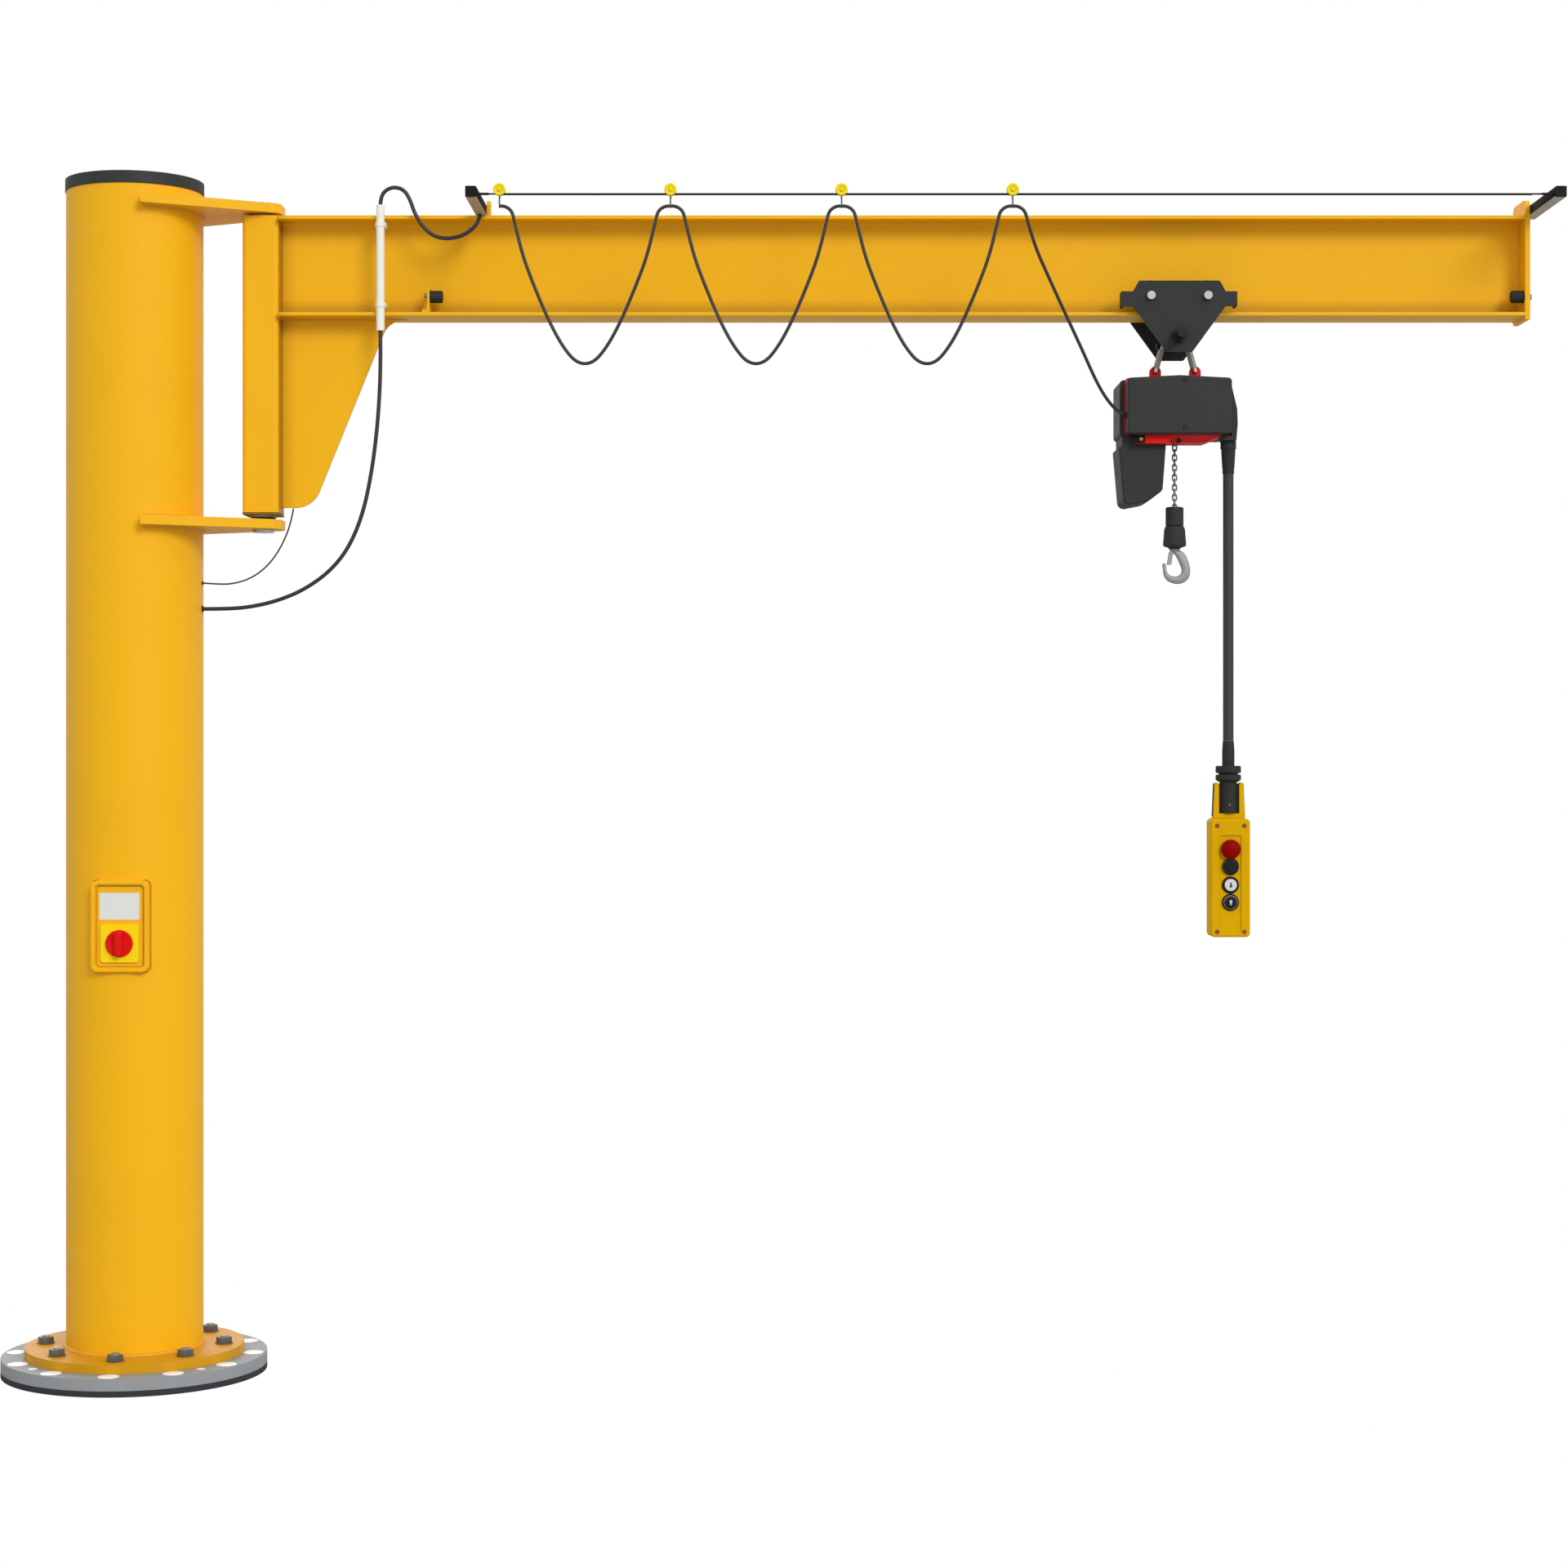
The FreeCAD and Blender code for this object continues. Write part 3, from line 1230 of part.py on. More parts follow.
chain_sleeve = turned([
    (chain_bore, sleeve_bottom), (sleeve_radius, sleeve_bottom), (sleeve_radius, sleeve_top - 3),
    (sleeve_radius - 3, sleeve_top), (chain_bore, sleeve_top)], chain_x, 0)
write("chain_sleeve", chain_sleeve)

shank_bore = hook_shank_radius + seat
collar_bore = hook_collar_radius + seat
hook_block = turned([
    (chain_bore, block_top), (block_neck_radius, block_top - 2), (block_shoulder_radius, block_shoulder_z),
    (block_radius, block_bottom + 11), (block_radius, block_bottom + 4), (block_radius - 2, block_bottom + 1),
    (block_foot_radius, block_bottom - 4), (block_foot_radius, block_foot_z), (shank_bore, block_foot_z),
    (shank_bore, hook_collar_bottom),
    (collar_bore, hook_collar_bottom), (collar_bore, hook_collar_top), (0, hook_collar_top),
    (0, chain_bottom - seat), (chain_bore, chain_bottom - seat)], chain_x, 0)
write("hook_block", hook_block)

# Hook: a forged hook, thick in the bowl and slim at the neck and the tip.
# Each row is (x from the axis, z below the block's foot, width in the hook's plane, thickness).

hook_rows = [
    (6.5, -10.5, 18, 16), (13.4, -15.5, 24.5, 18.5), (20.9, -24.8, 28, 20), (27, -38, 28, 21.5),
    (31.8, -51, 27, 22), (34, -64, 26.5, 22.5), (31.5, -79, 28, 22.5), (21.5, -89.5, 27, 22),
    (8.5, -93.8, 24, 21.5), (-4, -93, 21.5, 20.5), (-15.5, -89, 19.5, 18.5), (-24, -81, 16, 16),
    (-28.5, -70.5, 12.5, 13), (-30.7, -59, 11, 11.5), (-31.4, -49, 12, 11.5), (-31.4, -44.5, 9, 8),
]
hook_sides = 14
hook_steps = 3
hook_line = Part.BSplineCurve()
hook_line.interpolate([V(chain_x + row[0], 0, block_foot_z + row[1]) for row in hook_rows])


def hook_ring(step):
    """A ring of points across the hook's line, a number of steps along it."""
    row, share = divmod(step / hook_steps, 1)
    here = hook_rows[int(row)]
    following = hook_rows[min(int(row) + 1, len(hook_rows) - 1)]
    width = here[2] + (following[2] - here[2]) * share
    thickness = here[3] + (following[3] - here[3]) * share
    knots = hook_line.getKnots()
    start = knots[int(row)]
    end = knots[min(int(row) + 1, len(hook_rows) - 1)]
    parameter = start + (end - start) * share
    centre = hook_line.value(parameter)
    forward = V(*hook_line.tangent(parameter)[0])
    inward = forward.cross(Y_AXIS)
    points = []
    for side in range(hook_sides):
        angle = 2 * math.pi * side / hook_sides
        points.append(centre + inward * (math.cos(angle) * width / 2)
                      + Y_AXIS * (math.sin(angle) * thickness / 2))
    return points


def around(radius, centre, half_length):
    """A round bar along Y, centred on a point."""
    reach = V(0, half_length, 0)
    return rod(radius, centre - reach, centre + reach)


hook_body = skin([hook_ring(step) for step in range(hook_steps * (len(hook_rows) - 1) + 1)], False)
hook_shank = rod(hook_shank_radius, V(chain_x, 0, block_foot_z - 13), V(chain_x, 0, hook_collar_top - seat))
hook_collar = rod(hook_collar_radius, V(chain_x, 0, hook_collar_bottom + seat),
                  V(chain_x, 0, hook_collar_top - seat))
hook_root = rod(hook_root_radius, V(chain_x, 0, block_foot_z - 6.5), V(chain_x, 0, block_foot_z - 1))
hook_shoulder = rod(hook_shoulder_radius, V(chain_x, 0, block_foot_z - 5), V(chain_x, 0, block_foot_z - 1))
latch_pin_radius = 2.5
latch_boss_radius = 5.0
latch_boss_half = 5.0
latch_cheek_thickness = 3.0
latch_x = chain_x - 10.0
latch_z = block_foot_z - 12.0
latch_pivot = V(latch_x, 0, latch_z)
latch_cheek_outer = latch_boss_half + seat + latch_cheek_thickness
latch_pin = around(latch_pin_radius, latch_pivot, latch_cheek_outer + seat)
latch_boss = around(latch_boss_radius, latch_pivot, latch_boss_half)
boss_bridge = box(latch_x + 1, chain_x + 3, -latch_boss_half, latch_boss_half, latch_z - 4, latch_z + 4)
write("hook", fuse([hook_body, hook_shank, hook_collar, hook_root, hook_shoulder, latch_boss, boss_bridge, latch_pin]))

# Safety latch: two cheeks outside the boss, joined by a tongue that closes the hook's mouth

latch_tip_x = latch_x - 11.0
latch_tip_z = latch_z - 35.5
tongue_top = latch_z - 17.0


def latch_cheek(side):
    low, high = sorted((side * (latch_boss_half + seat), side * latch_cheek_outer))
    cheek = side_prism([(latch_x - 6, latch_z + 5, 4), (latch_x + 5, latch_z + 5, 4),
                        (latch_tip_x + 11, latch_tip_z, 3), (latch_tip_x - 2, latch_tip_z, 3)], low, high)
    return cheek.cut(around(latch_pin_radius + seat, latch_pivot, latch_cheek_outer + 1))


latch_tongue = side_prism([(latch_x - 8, tongue_top, 0), (latch_x - 4, tongue_top, 0),
                           (latch_tip_x + 7.5, latch_tip_z, 0), (latch_tip_x - 1, latch_tip_z, 0)],
                          -latch_boss_half - 2, latch_boss_half + 2)
write("hook_latch", fuse([latch_cheek(-1), latch_cheek(1), latch_tongue]))
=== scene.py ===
import bmesh
import bpy
import math
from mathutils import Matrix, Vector


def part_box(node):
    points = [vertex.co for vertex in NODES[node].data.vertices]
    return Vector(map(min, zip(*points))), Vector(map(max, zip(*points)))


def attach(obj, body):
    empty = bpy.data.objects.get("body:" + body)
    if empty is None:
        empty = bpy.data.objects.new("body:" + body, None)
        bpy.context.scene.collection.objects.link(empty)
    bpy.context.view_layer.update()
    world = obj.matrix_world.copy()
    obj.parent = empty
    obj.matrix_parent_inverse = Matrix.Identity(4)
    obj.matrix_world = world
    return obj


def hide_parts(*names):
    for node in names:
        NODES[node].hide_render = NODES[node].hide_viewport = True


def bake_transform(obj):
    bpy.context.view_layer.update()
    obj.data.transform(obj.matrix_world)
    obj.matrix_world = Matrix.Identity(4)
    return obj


# Looks of the pillar jib crane. Metres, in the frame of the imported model: +Z up, +X out along the jib,
# and the festoon wire, the switch and the pendant's buttons face -Y.

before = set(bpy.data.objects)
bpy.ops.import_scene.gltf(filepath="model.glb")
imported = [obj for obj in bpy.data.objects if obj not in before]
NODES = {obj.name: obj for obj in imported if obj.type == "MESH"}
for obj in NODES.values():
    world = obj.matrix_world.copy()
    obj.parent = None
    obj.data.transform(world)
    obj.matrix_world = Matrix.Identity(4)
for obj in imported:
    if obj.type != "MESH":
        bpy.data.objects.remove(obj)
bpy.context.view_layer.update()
scene = bpy.context.scene
X_AXIS = Vector((1, 0, 0))
Y_AXIS = Vector((0, 1, 0))
Z_AXIS = Vector((0, 0, 1))

# Camera: level, in front of the middle of the crane

IMAGE_WIDTH = 1920
FOCAL_PIXELS = 3658.5
PRINCIPAL_ROW = 926.3
SENSOR = 36.0
CAMERA_PLACE = (1.9615, -9.031, 1.854)

camera_data = bpy.data.cameras.new("camera")
camera_data.sensor_width = SENSOR
camera_data.lens = FOCAL_PIXELS / IMAGE_WIDTH * SENSOR
camera_data.shift_y = (PRINCIPAL_ROW - IMAGE_WIDTH / 2) / IMAGE_WIDTH
camera = bpy.data.objects.new("camera", camera_data)
camera.location = CAMERA_PLACE
camera.rotation_euler = (math.pi / 2, 0, 0)
scene.collection.objects.link(camera)
scene.camera = camera

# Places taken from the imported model


def middle(node):
    low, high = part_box(node)
    return (low + high) / 2


def half_width(node):
    low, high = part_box(node)
    return (high.x - low.x) / 2


HOIST_X = middle("suspension_bar").x
CHAIN_X = middle("chain_sleeve").x
PENDANT_X, PENDANT_Y = middle("pendant_cable").xy
FLANGE_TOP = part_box("base_flange")[1].z
PLATE_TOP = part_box("anchor_plate")[1].z
COLUMN_RADIUS = 0.2032
BEAM_START, BEAM_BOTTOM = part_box("jib_beam")[0].xz
BEAM_END, BEAM_HALF, BEAM_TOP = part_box("jib_beam")[1]

# Mesh helpers


def add_piece(name, build, body, slot, *materials, smooth=35.0):
    """Make a piece from a bmesh. Unless materials are named, it has the one that is called as its slot."""
    mesh = bpy.data.meshes.new(name)
    bmesh.ops.recalc_face_normals(build, faces=build.faces[:])
    build.to_mesh(mesh)
    build.free()
    piece = bpy.data.objects.new(name, mesh)
    scene.collection.objects.link(piece)
    for material in materials or (slot,):
        mesh.materials.append(MATERIALS[material])
    for polygon in mesh.polygons:
        polygon.use_smooth = True
    mesh.set_sharp_from_angle(angle=math.radians(smooth))
    if body:
        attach(piece, body)
    return piece


def bridge(build, rings, closed_ring=True, closed_path=False, material=0):
    """Faces between successive rings of vertices."""
    count = len(rings[0])
    following = rings[1:] + rings[:1] if closed_path else rings[1:]
    for near, far in zip(rings, following):
        for i in range(count if closed_ring else count - 1):
            j = (i + 1) % count
            build.faces.new((near[i], near[j], far[j], far[i])).material_index = material


def frame_of(axis):
    """Two directions square to an axis and to each other."""
    axis = axis.normalized()
    helper = Z_AXIS if abs(axis.z) < 0.9 else X_AXIS
    across = axis.cross(helper).normalized()
    return across, axis.cross(across).normalized()


def ring_of(build, centre, across, other, radii):
    """A ring of vertices round a centre, from across towards other, with a radius for each of them."""
    ring = []
    for i, radius in enumerate(radii):
        angle = 2 * math.pi * i / len(radii)
        offset = across * (math.cos(angle) * radius) + other * (math.sin(angle) * radius)
        ring.append(build.verts.new(centre + offset))
    return ring


def lathe(build, outline, origin, axis, steps=40, material=0, hollow=False):
    """Turn an outline of (radius, height along the axis) about the axis, capped unless it is hollow."""
    origin = Vector(origin)
    axis = Vector(axis).normalized()
    across, other = frame_of(axis)
    rings = [ring_of(build, origin + axis * height, across, other, [radius] * steps)
             for radius, height in outline]
    bridge(build, rings, closed_path=hollow, material=material)
    for ring in () if hollow else (rings[0], rings[-1]):
        build.faces.new(ring).material_index = material


def tube(build, points, radius, sides=12, closed=False, ripple=None):
    """Sweep a circle along points. ripple(i) scales the radius at point i."""
    points = [Vector(p) for p in points]
    count = len(points)
    rings = []
    across = None
    for i in range(count):
        if closed:
            along = points[(i + 1) % count] - points[i - 1]
        else:
            along = points[min(i + 1, count - 1)] - points[max(i - 1, 0)]
        along.normalize()
        if across is None:
            across = frame_of(along)[0]
        across = (across - along * across.dot(along)).normalized()
        reach = radius * (ripple(i) if ripple else 1.0)
        rings.append(ring_of(build, points[i], across, along.cross(across), [reach] * sides))
    bridge(build, rings, closed_path=closed)
    if not closed:
        build.faces.new(rings[0])
        build.faces.new(rings[-1])


def slab(build, outline, origin, depth, bevel=0.0, segments=2, material=0):
    """A plate: an outline of (x, z) points from the origin, pushed along Y by depth."""
    origin = Vector(origin)
    scratch = bmesh.new()
    front = [scratch.verts.new(origin + X_AXIS * x + Z_AXIS * z) for x, z in outline]
    back = [scratch.verts.new(vertex.co + Y_AXIS * depth) for vertex in front]
    bridge(scratch, [front, back])
    scratch.faces.new(front)
    scratch.faces.new(back)
    bmesh.ops.recalc_face_normals(scratch, faces=scratch.faces[:])
    if bevel > 0:
        sharp = [edge for edge in scratch.edges if edge.calc_face_angle(0) > math.radians(30)]
        bmesh.ops.bevel(scratch, geom=sharp, offset=bevel, segments=segments, profile=0.5, affect="EDGES")
    for face in scratch.faces:
        face.material_index = material
    mesh = bpy.data.meshes.new("scratch")
    scratch.to_mesh(mesh)
    scratch.free()
    build.from_mesh(mesh)
    bpy.data.meshes.remove(mesh)


def block(build, low, high, bevel=0.001):
    """A box between two corners, with its edges rounded."""
    low = Vector(low)
    high = Vector(high)
    outline = [(0, 0), (high.x - low.x, 0), (high.x - low.x, high.z - low.z), (0, high.z - low.z)]
    slab(build, outline, low, high.y - low.y, bevel)


def rounded_outline(width, height, radius, steps=6):
    """A rectangle centred on the origin with rounded corners."""
    points = []
    for turn, (sign_u, sign_v) in enumerate(((1, 1), (-1, 1), (-1, -1), (1, -1))):
        for i in range(steps + 1):
            angle = math.pi / 2 * (turn + i / steps)
            points.append((sign_u * (width / 2 - radius) + radius * math.cos(angle),
                           sign_v * (height / 2 - radius) + radius * math.sin(angle)))
    return points


HEAD_STEPS = 24
HEAD_CHAMFER_START = 0.88
HEAD_CHAMFER_RADIUS = 0.475
WASHER_THICKNESS = 0.09


def hex_bolt(build, seat_point, axis, across_flats, height, washer, top=0):
    """A hexagon head with its chamfer on a washer, standing on a point. top is its upper face's material."""
    seat_point = Vector(seat_point)
    axis = Vector(axis).normalized()
    across, other = frame_of(axis)
    rise = across_flats * WASHER_THICKNESS
    lathe(build, [(washer * 0.97, 0), (washer, rise * 0.3), (washer, rise * 0.8), (washer * 0.96, rise)],
          seat_point, axis, 36)
    corner = across_flats / 2 / math.cos(math.pi / 6)
    hexagon = []
    for i in range(HEAD_STEPS):
        nearest = (2 * math.pi * i / HEAD_STEPS + math.pi / 6) % (math.pi / 3) - math.pi / 6
        hexagon.append(min(corner, across_flats / 2 / math.cos(nearest)))
    chamfer = [across_flats * HEAD_CHAMFER_RADIUS] * HEAD_STEPS
    rings = [ring_of(build, seat_point + axis * z, across, other, radii) for z, radii in (
        (rise, hexagon), (rise + height * HEAD_CHAMFER_START, hexagon), (rise + height, chamfer))]
    bridge(build, rings)
    build.faces.new(rings[0])
    build.faces.new(rings[-1]).material_index = top


def circle(centre, radius, steps, across=X_AXIS, other=Y_AXIS, first=0.0):
    """Points round a circle. first is the angle of the first one."""
    centre = Vector(centre)
    angles = [first + 2 * math.pi * i / steps for i in range(steps)]
    return [centre + across * (radius * math.cos(a)) + other * (radius * math.sin(a)) for a in angles]


WELD_STEP = 0.003


def weld_ripple(i):
    """The small scales of a weld bead."""
    return 1.0 + 0.09 * math.sin(i * 1.57) + 0.05 * math.sin(i * 0.37)


def weld(build, points, size, closed=False):
    tube(build, points, size, sides=8, closed=closed, ripple=weld_ripple)


def weld_line(build, start, end, size):
    """A weld bead on a straight line."""
    start = Vector(start)
    end = Vector(end)
    steps = max(2, round((end - start).length / WELD_STEP))
    weld(build, [start.lerp(end, i / steps) for i in range(steps + 1)], size)


# Materials by name: each has colour variation, roughness variation and a fine surface, all in object space

MATERIALS = {}
WHITE = (1, 1, 1, 1)
MICRON = 1e-6
COAT_ROUGHNESS = 0.2
NOISE_LOW = 0.3
NOISE_HIGH = 0.7
BUMP_STRENGTH = 0.6
PAINTED_SHADE_LEAD = 0.1


def linear(colour):
    """A colour given in 0 to 255, as the renderer's linear values."""
    return [((c / 255 + 0.055) / 1.055) ** 2.4 if c > 10 else c / 255 / 12.92 for c in colour]


def set_inputs(node, **values):
    """Give a node's sockets their values. An underscore stands for the blank in a socket's name."""
    for name, value in values.items():
        node.inputs[name.replace("_", " ")].default_value = value
    return node


def add_node(nodes, kind, **values):
    return set_inputs(nodes.new("ShaderNode" + kind), **values)


def shader(name, colour, roughness, metallic=0.0, coat=0.0, shade=(0.05, 6), grain=(900, 50), wave=(60, 0),
           rough_change=0.08, edge=0.0008, specular=0.5, painted_shade=()):
    """A material with a broad change of shade, a change of roughness, a fine grain and softened edges.

    colour is in 0 to 255. shade is (share, noise scale), and grain and wave are (noise scale, microns deep).
    grime lists (axis, start, end, share) of painted shade: the colour falls to a share at start and is full
    again at end.
    """
    material = MATERIALS[name] = bpy.data.materials.new(name)
    material.use_nodes = True
    nodes = material.node_tree.nodes
    links = material.node_tree.links
    principled = set_inputs(nodes["Principled BSDF"], Metallic=metallic, Coat_Weight=coat,
                            Coat_Roughness=COAT_ROUGHNESS, Specular_IOR_Level=specular)
    place = add_node(nodes, "TexCoord").outputs["Object"]

    def noise(scale, detail, rough):
        node = add_node(nodes, "TexNoise", Scale=scale, Detail=detail, Roughness=rough)
        links.new(place, node.inputs["Vector"])
        return node.outputs["Fac"]

    change, shade_scale = shade
    tones = linear(colour)
    ramp = add_node(nodes, "ValToRGB")
    stops = ramp.color_ramp.elements
    stops[0].position = NOISE_LOW
    stops[1].position = NOISE_HIGH
    stops[0].color = [c * (1 - change) for c in tones] + [1]
    stops[1].color = [min(1.0, c * (1 + change)) for c in tones] + [1]
    links.new(noise(shade_scale, 6.0, 0.6), ramp.inputs["Fac"])
    colour_output = ramp.outputs["Color"]
    # Painted shade: darken the colour at the start of a span along an axis, fading out by its end
    for axis, start, end, share in painted_shade:
        split = add_node(nodes, "SeparateXYZ")
        links.new(place, split.inputs["Vector"])
        lead = PAINTED_SHADE_LEAD * (end - start)
        along = add_node(nodes, "MapRange", From_Min=start - lead, From_Max=end)
        links.new(split.outputs[axis], along.inputs["Value"])
        shade_ramp = add_node(nodes, "ValToRGB")
        step = lead / (end - start + lead)
        stops = shade_ramp.color_ramp.elements
        stops[0].color = stops[1].color = WHITE
        stops.new(step - 0.02).color = WHITE
        stops.new(step).color = (share, share, share, 1)
        links.new(along.outputs["Result"], shade_ramp.inputs["Fac"])
        darker = add_node(nodes, "Mix")
        darker.data_type = "RGBA"
        darker.blend_type = "MULTIPLY"
        set_inputs(darker, Factor=1.0)
        links.new(colour_output, darker.inputs[6])
        links.new(shade_ramp.outputs["Color"], darker.inputs[7])
        colour_output = darker.outputs[2]
    links.new(colour_output, principled.inputs["Base Color"])

    rough_range = add_node(nodes, "MapRange", From_Min=NOISE_LOW, From_Max=NOISE_HIGH,
                             To_Min=max(0.02, roughness - rough_change),
                             To_Max=min(1.0, roughness + rough_change))
    links.new(noise(shade_scale * 7, 4.0, 0.6), rough_range.inputs["Value"])
    links.new(rough_range.outputs["Result"], principled.inputs["Roughness"])

    normal = None
    if edge > 0:
        softened = add_node(nodes, "Bevel", Radius=edge)
        softened.samples = 4
        normal = softened.outputs["Normal"]
    for (scale, depth), detail in ((wave, 2.0), (grain, 4.0)):
        if depth > 0:
            bump = add_node(nodes, "Bump", Strength=BUMP_STRENGTH, Distance=depth * MICRON)
            links.new(noise(scale, detail, 0.55), bump.inputs["Height"])
            if normal:
                links.new(normal, bump.inputs["Normal"])
            normal = bump.outputs["Normal"]
    links.new(normal, principled.inputs["Normal"])


YELLOW = (242, 180, 8)
# Painted shade on the jib's yellow: darker on the web just above the lower flange, next to the post at the
# beam's start, and on the post's face towards the haunch
BEAM_START_PAINTED_SHADE = ("X", BEAM_START, BEAM_START + 0.045, 0.78)
POST_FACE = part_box("pivot_post")[1].x
PAINT = dict(coat=0.03, shade=(0.02, 6), grain=(520, 50), wave=(110, 40), edge=0.0015, specular=0.2)
WELD = dict(shade=(0.06, 60), grain=(700, 120), wave=(260, 500), edge=0)
shader("paint_yellow", YELLOW, 0.5, **PAINT)
shader("paint_beam_painted_shade", YELLOW, 0.5,
       painted_shade=[("Z", BEAM_BOTTOM + 0.011, BEAM_BOTTOM + 0.06, 0.5), BEAM_START_PAINTED_SHADE], **PAINT)
shader("paint_haunch_painted_shade", YELLOW, 0.5, painted_shade=[BEAM_START_PAINTED_SHADE], **PAINT)
shader("paint_post_painted_shade", YELLOW, 0.5, painted_shade=[("X", POST_FACE - 0.001, POST_FACE + 0.05, 0.58)], **PAINT)
# Dark olive for the rim under the pivot post: painted shade
shader("foot_painted_shade", (126, 100, 30), 0.6, shade=(0.1, 30), grain=(900, 80), edge=0.0006, specular=0.2)
# A still darker yellow for the upright welds at the beam's start: painted shade
shader("post_weld_painted_shade", (170, 116, 10), 0.6, specular=0.2, **WELD)
shader("paint_column", YELLOW, 0.5, **dict(PAINT, shade=(0.025, 2.5), wave=(45, 80)))
# The base flange's yellow is darker than the column's: painted shade
shader("paint_flange_painted_shade", (208, 149, 8), 0.5, **dict(PAINT, shade=(0.03, 6), wave=(80, 60)))
# Dark yellow for the lines round the switch frame: painted shade
shader("frame_outline_painted_shade", (204, 144, 8), 0.6, shade=(0.08, 30), grain=(900, 80), edge=0, specular=0.2)
# The welds' yellow is darker than the paint: painted shade along the joints
shader("weld_paint_painted_shade", (220, 160, 8), 0.5, **WELD)
shader("plate_grey", (146, 150, 153), 0.62, shade=(0.05, 9), grain=(600, 100), wave=(70, 300), edge=0.0015)
shader("mat_dark", (52, 51, 56), 0.8, shade=(0.12, 25), grain=(450, 400), edge=0.001, specular=0.3)
shader("cap_slate", (49, 53, 51), 0.6, grain=(900, 100), edge=0.003, specular=0.25)
shader("black_plastic", (20, 20, 21), 0.6, shade=(0.08, 6), grain=(1200, 80), specular=0.15)
shader("steel_bright", (196, 196, 194), 0.32, metallic=1.0, shade=(0.06, 40), grain=(1500, 30),
       rough_change=0.12, edge=0.0006)
shader("wheel_steel", (98, 98, 100), 0.45, metallic=0.7, shade=(0.1, 40), grain=(1200, 50))
shader("wire_steel", (30, 30, 31), 0.6, shade=(0.12, 60), grain=(1500, 50), edge=0, specular=0.15)
shader("rail_grey", (172, 171, 162), 0.5, metallic=0.25, shade=(0.08, 14), grain=(900, 60))
shader("bolt_steel", (138, 138, 132), 0.45, metallic=0.4, shade=(0.12, 60), grain=(1400, 60),
       rough_change=0.14, edge=0.0006)
shader("bolt_side", (92, 90, 80), 0.5, metallic=0.3, shade=(0.12, 60), grain=(1400, 60), edge=0.0006)
shader("brass", (150, 128, 70), 0.45, metallic=0.5, shade=(0.08, 60), grain=(1400, 50), edge=0.0004)
shader("guide_dark", (84, 10, 12), 0.6, shade=(0.08, 40), grain=(1200, 60), specular=0.1)
shader("sleeve_steel", (150, 150, 143), 0.45, metallic=0.35, shade=(0.12, 60), grain=(1300, 60), edge=0.0006)
shader("rubber_black", (36, 36, 37), 0.7, shade=(0.1, 30), grain=(900, 120), specular=0.35)
shader("cable_black", (45, 42, 45), 0.5, shade=(0.1, 18), grain=(1300, 60), edge=0)
shader("earth_sheath", (58, 58, 52), 0.5, shade=(0.1, 18), grain=(1300, 50), edge=0)
shader("plug_white", (247, 246, 242), 0.4, shade=(0.015, 20), grain=(1200, 40), edge=0.0006, specular=0.3)
# Black for the rails' slotted faces: painted shade
shader("slot_painted_shade_black", (16, 16, 16), 0.8, shade=(0.1, 30), grain=(900, 120), edge=0.0005, specular=0.1)
shader("ring_dark", (168, 168, 158), 0.5, metallic=0.3, shade=(0.1, 30), grain=(1200, 60), edge=0.0005)
shader("conduit_white", (237, 238, 228), 0.35, coat=0.2, shade=(0.02, 6), grain=(1200, 40), edge=0.0006)
shader("label_white", (222, 223, 221), 0.4, coat=0.05, shade=(0.015, 20), grain=(1500, 30), edge=0.0004)
shader("switch_yellow", (248, 216, 6), 0.5, shade=(0.02, 6), grain=(1100, 60), specular=0.15)
shader("knob_red", (222, 16, 12), 0.55, shade=(0.05, 25), grain=(1400, 40), specular=0.12)
shader("roller_yellow", (240, 216, 12), 0.45, shade=(0.03, 40), grain=(1300, 50), specular=0.2)
shader("trolley_dark", (50, 50, 51), 0.6, shade=(0.08, 18), grain=(700, 100), edge=0.001, specular=0.2)
shader("bar_black", (26, 26, 27), 0.5, shade=(0.1, 30), grain=(900, 100), edge=0.001, specular=0.25)
shader("hoist_red", (226, 16, 16), 0.5, shade=(0.06, 18), grain=(800, 100), wave=(160, 200), specular=0.15)
shader("hoist_cover", (52, 52, 53), 0.6, shade=(0.05, 12), grain=(1500, 160), edge=0.002, specular=0.2)
shader("container_dark", (50, 50, 51), 0.65, shade=(0.06, 14), grain=(1300, 200), edge=0.002, specular=0.2)
shader("pendant_yellow", (217, 167, 4), 0.55, shade=(0.03, 14), grain=(1300, 80), edge=0.0015, specular=0.03)
shader("button_red", (140, 4, 1), 0.5, shade=(0.05, 40), grain=(1600, 30), specular=0.04)
shader("button_black", (24, 26, 28), 0.5, shade=(0.06, 40), grain=(1600, 30), specular=0.15)
shader("ring_grey", (150, 152, 154), 0.4, metallic=0.5, shade=(0.05, 40), grain=(1500, 30))
shader("button_white", (208, 210, 212), 0.4, coat=0.05, shade=(0.02, 40), grain=(1600, 30))
shader("case_screw", (140, 72, 16), 0.55, metallic=0.1, shade=(0.1, 60), grain=(1500, 30), edge=0.0004)
shader("chain_steel", (150, 150, 150), 0.36, metallic=1.0, shade=(0.18, 90), grain=(1500, 50),
       rough_change=0.14, edge=0)
shader("hook_steel", (158, 158, 157), 0.55, metallic=0.2, shade=(0.1, 45), grain=(700, 220), wave=(150, 400),
       edge=0.0006)

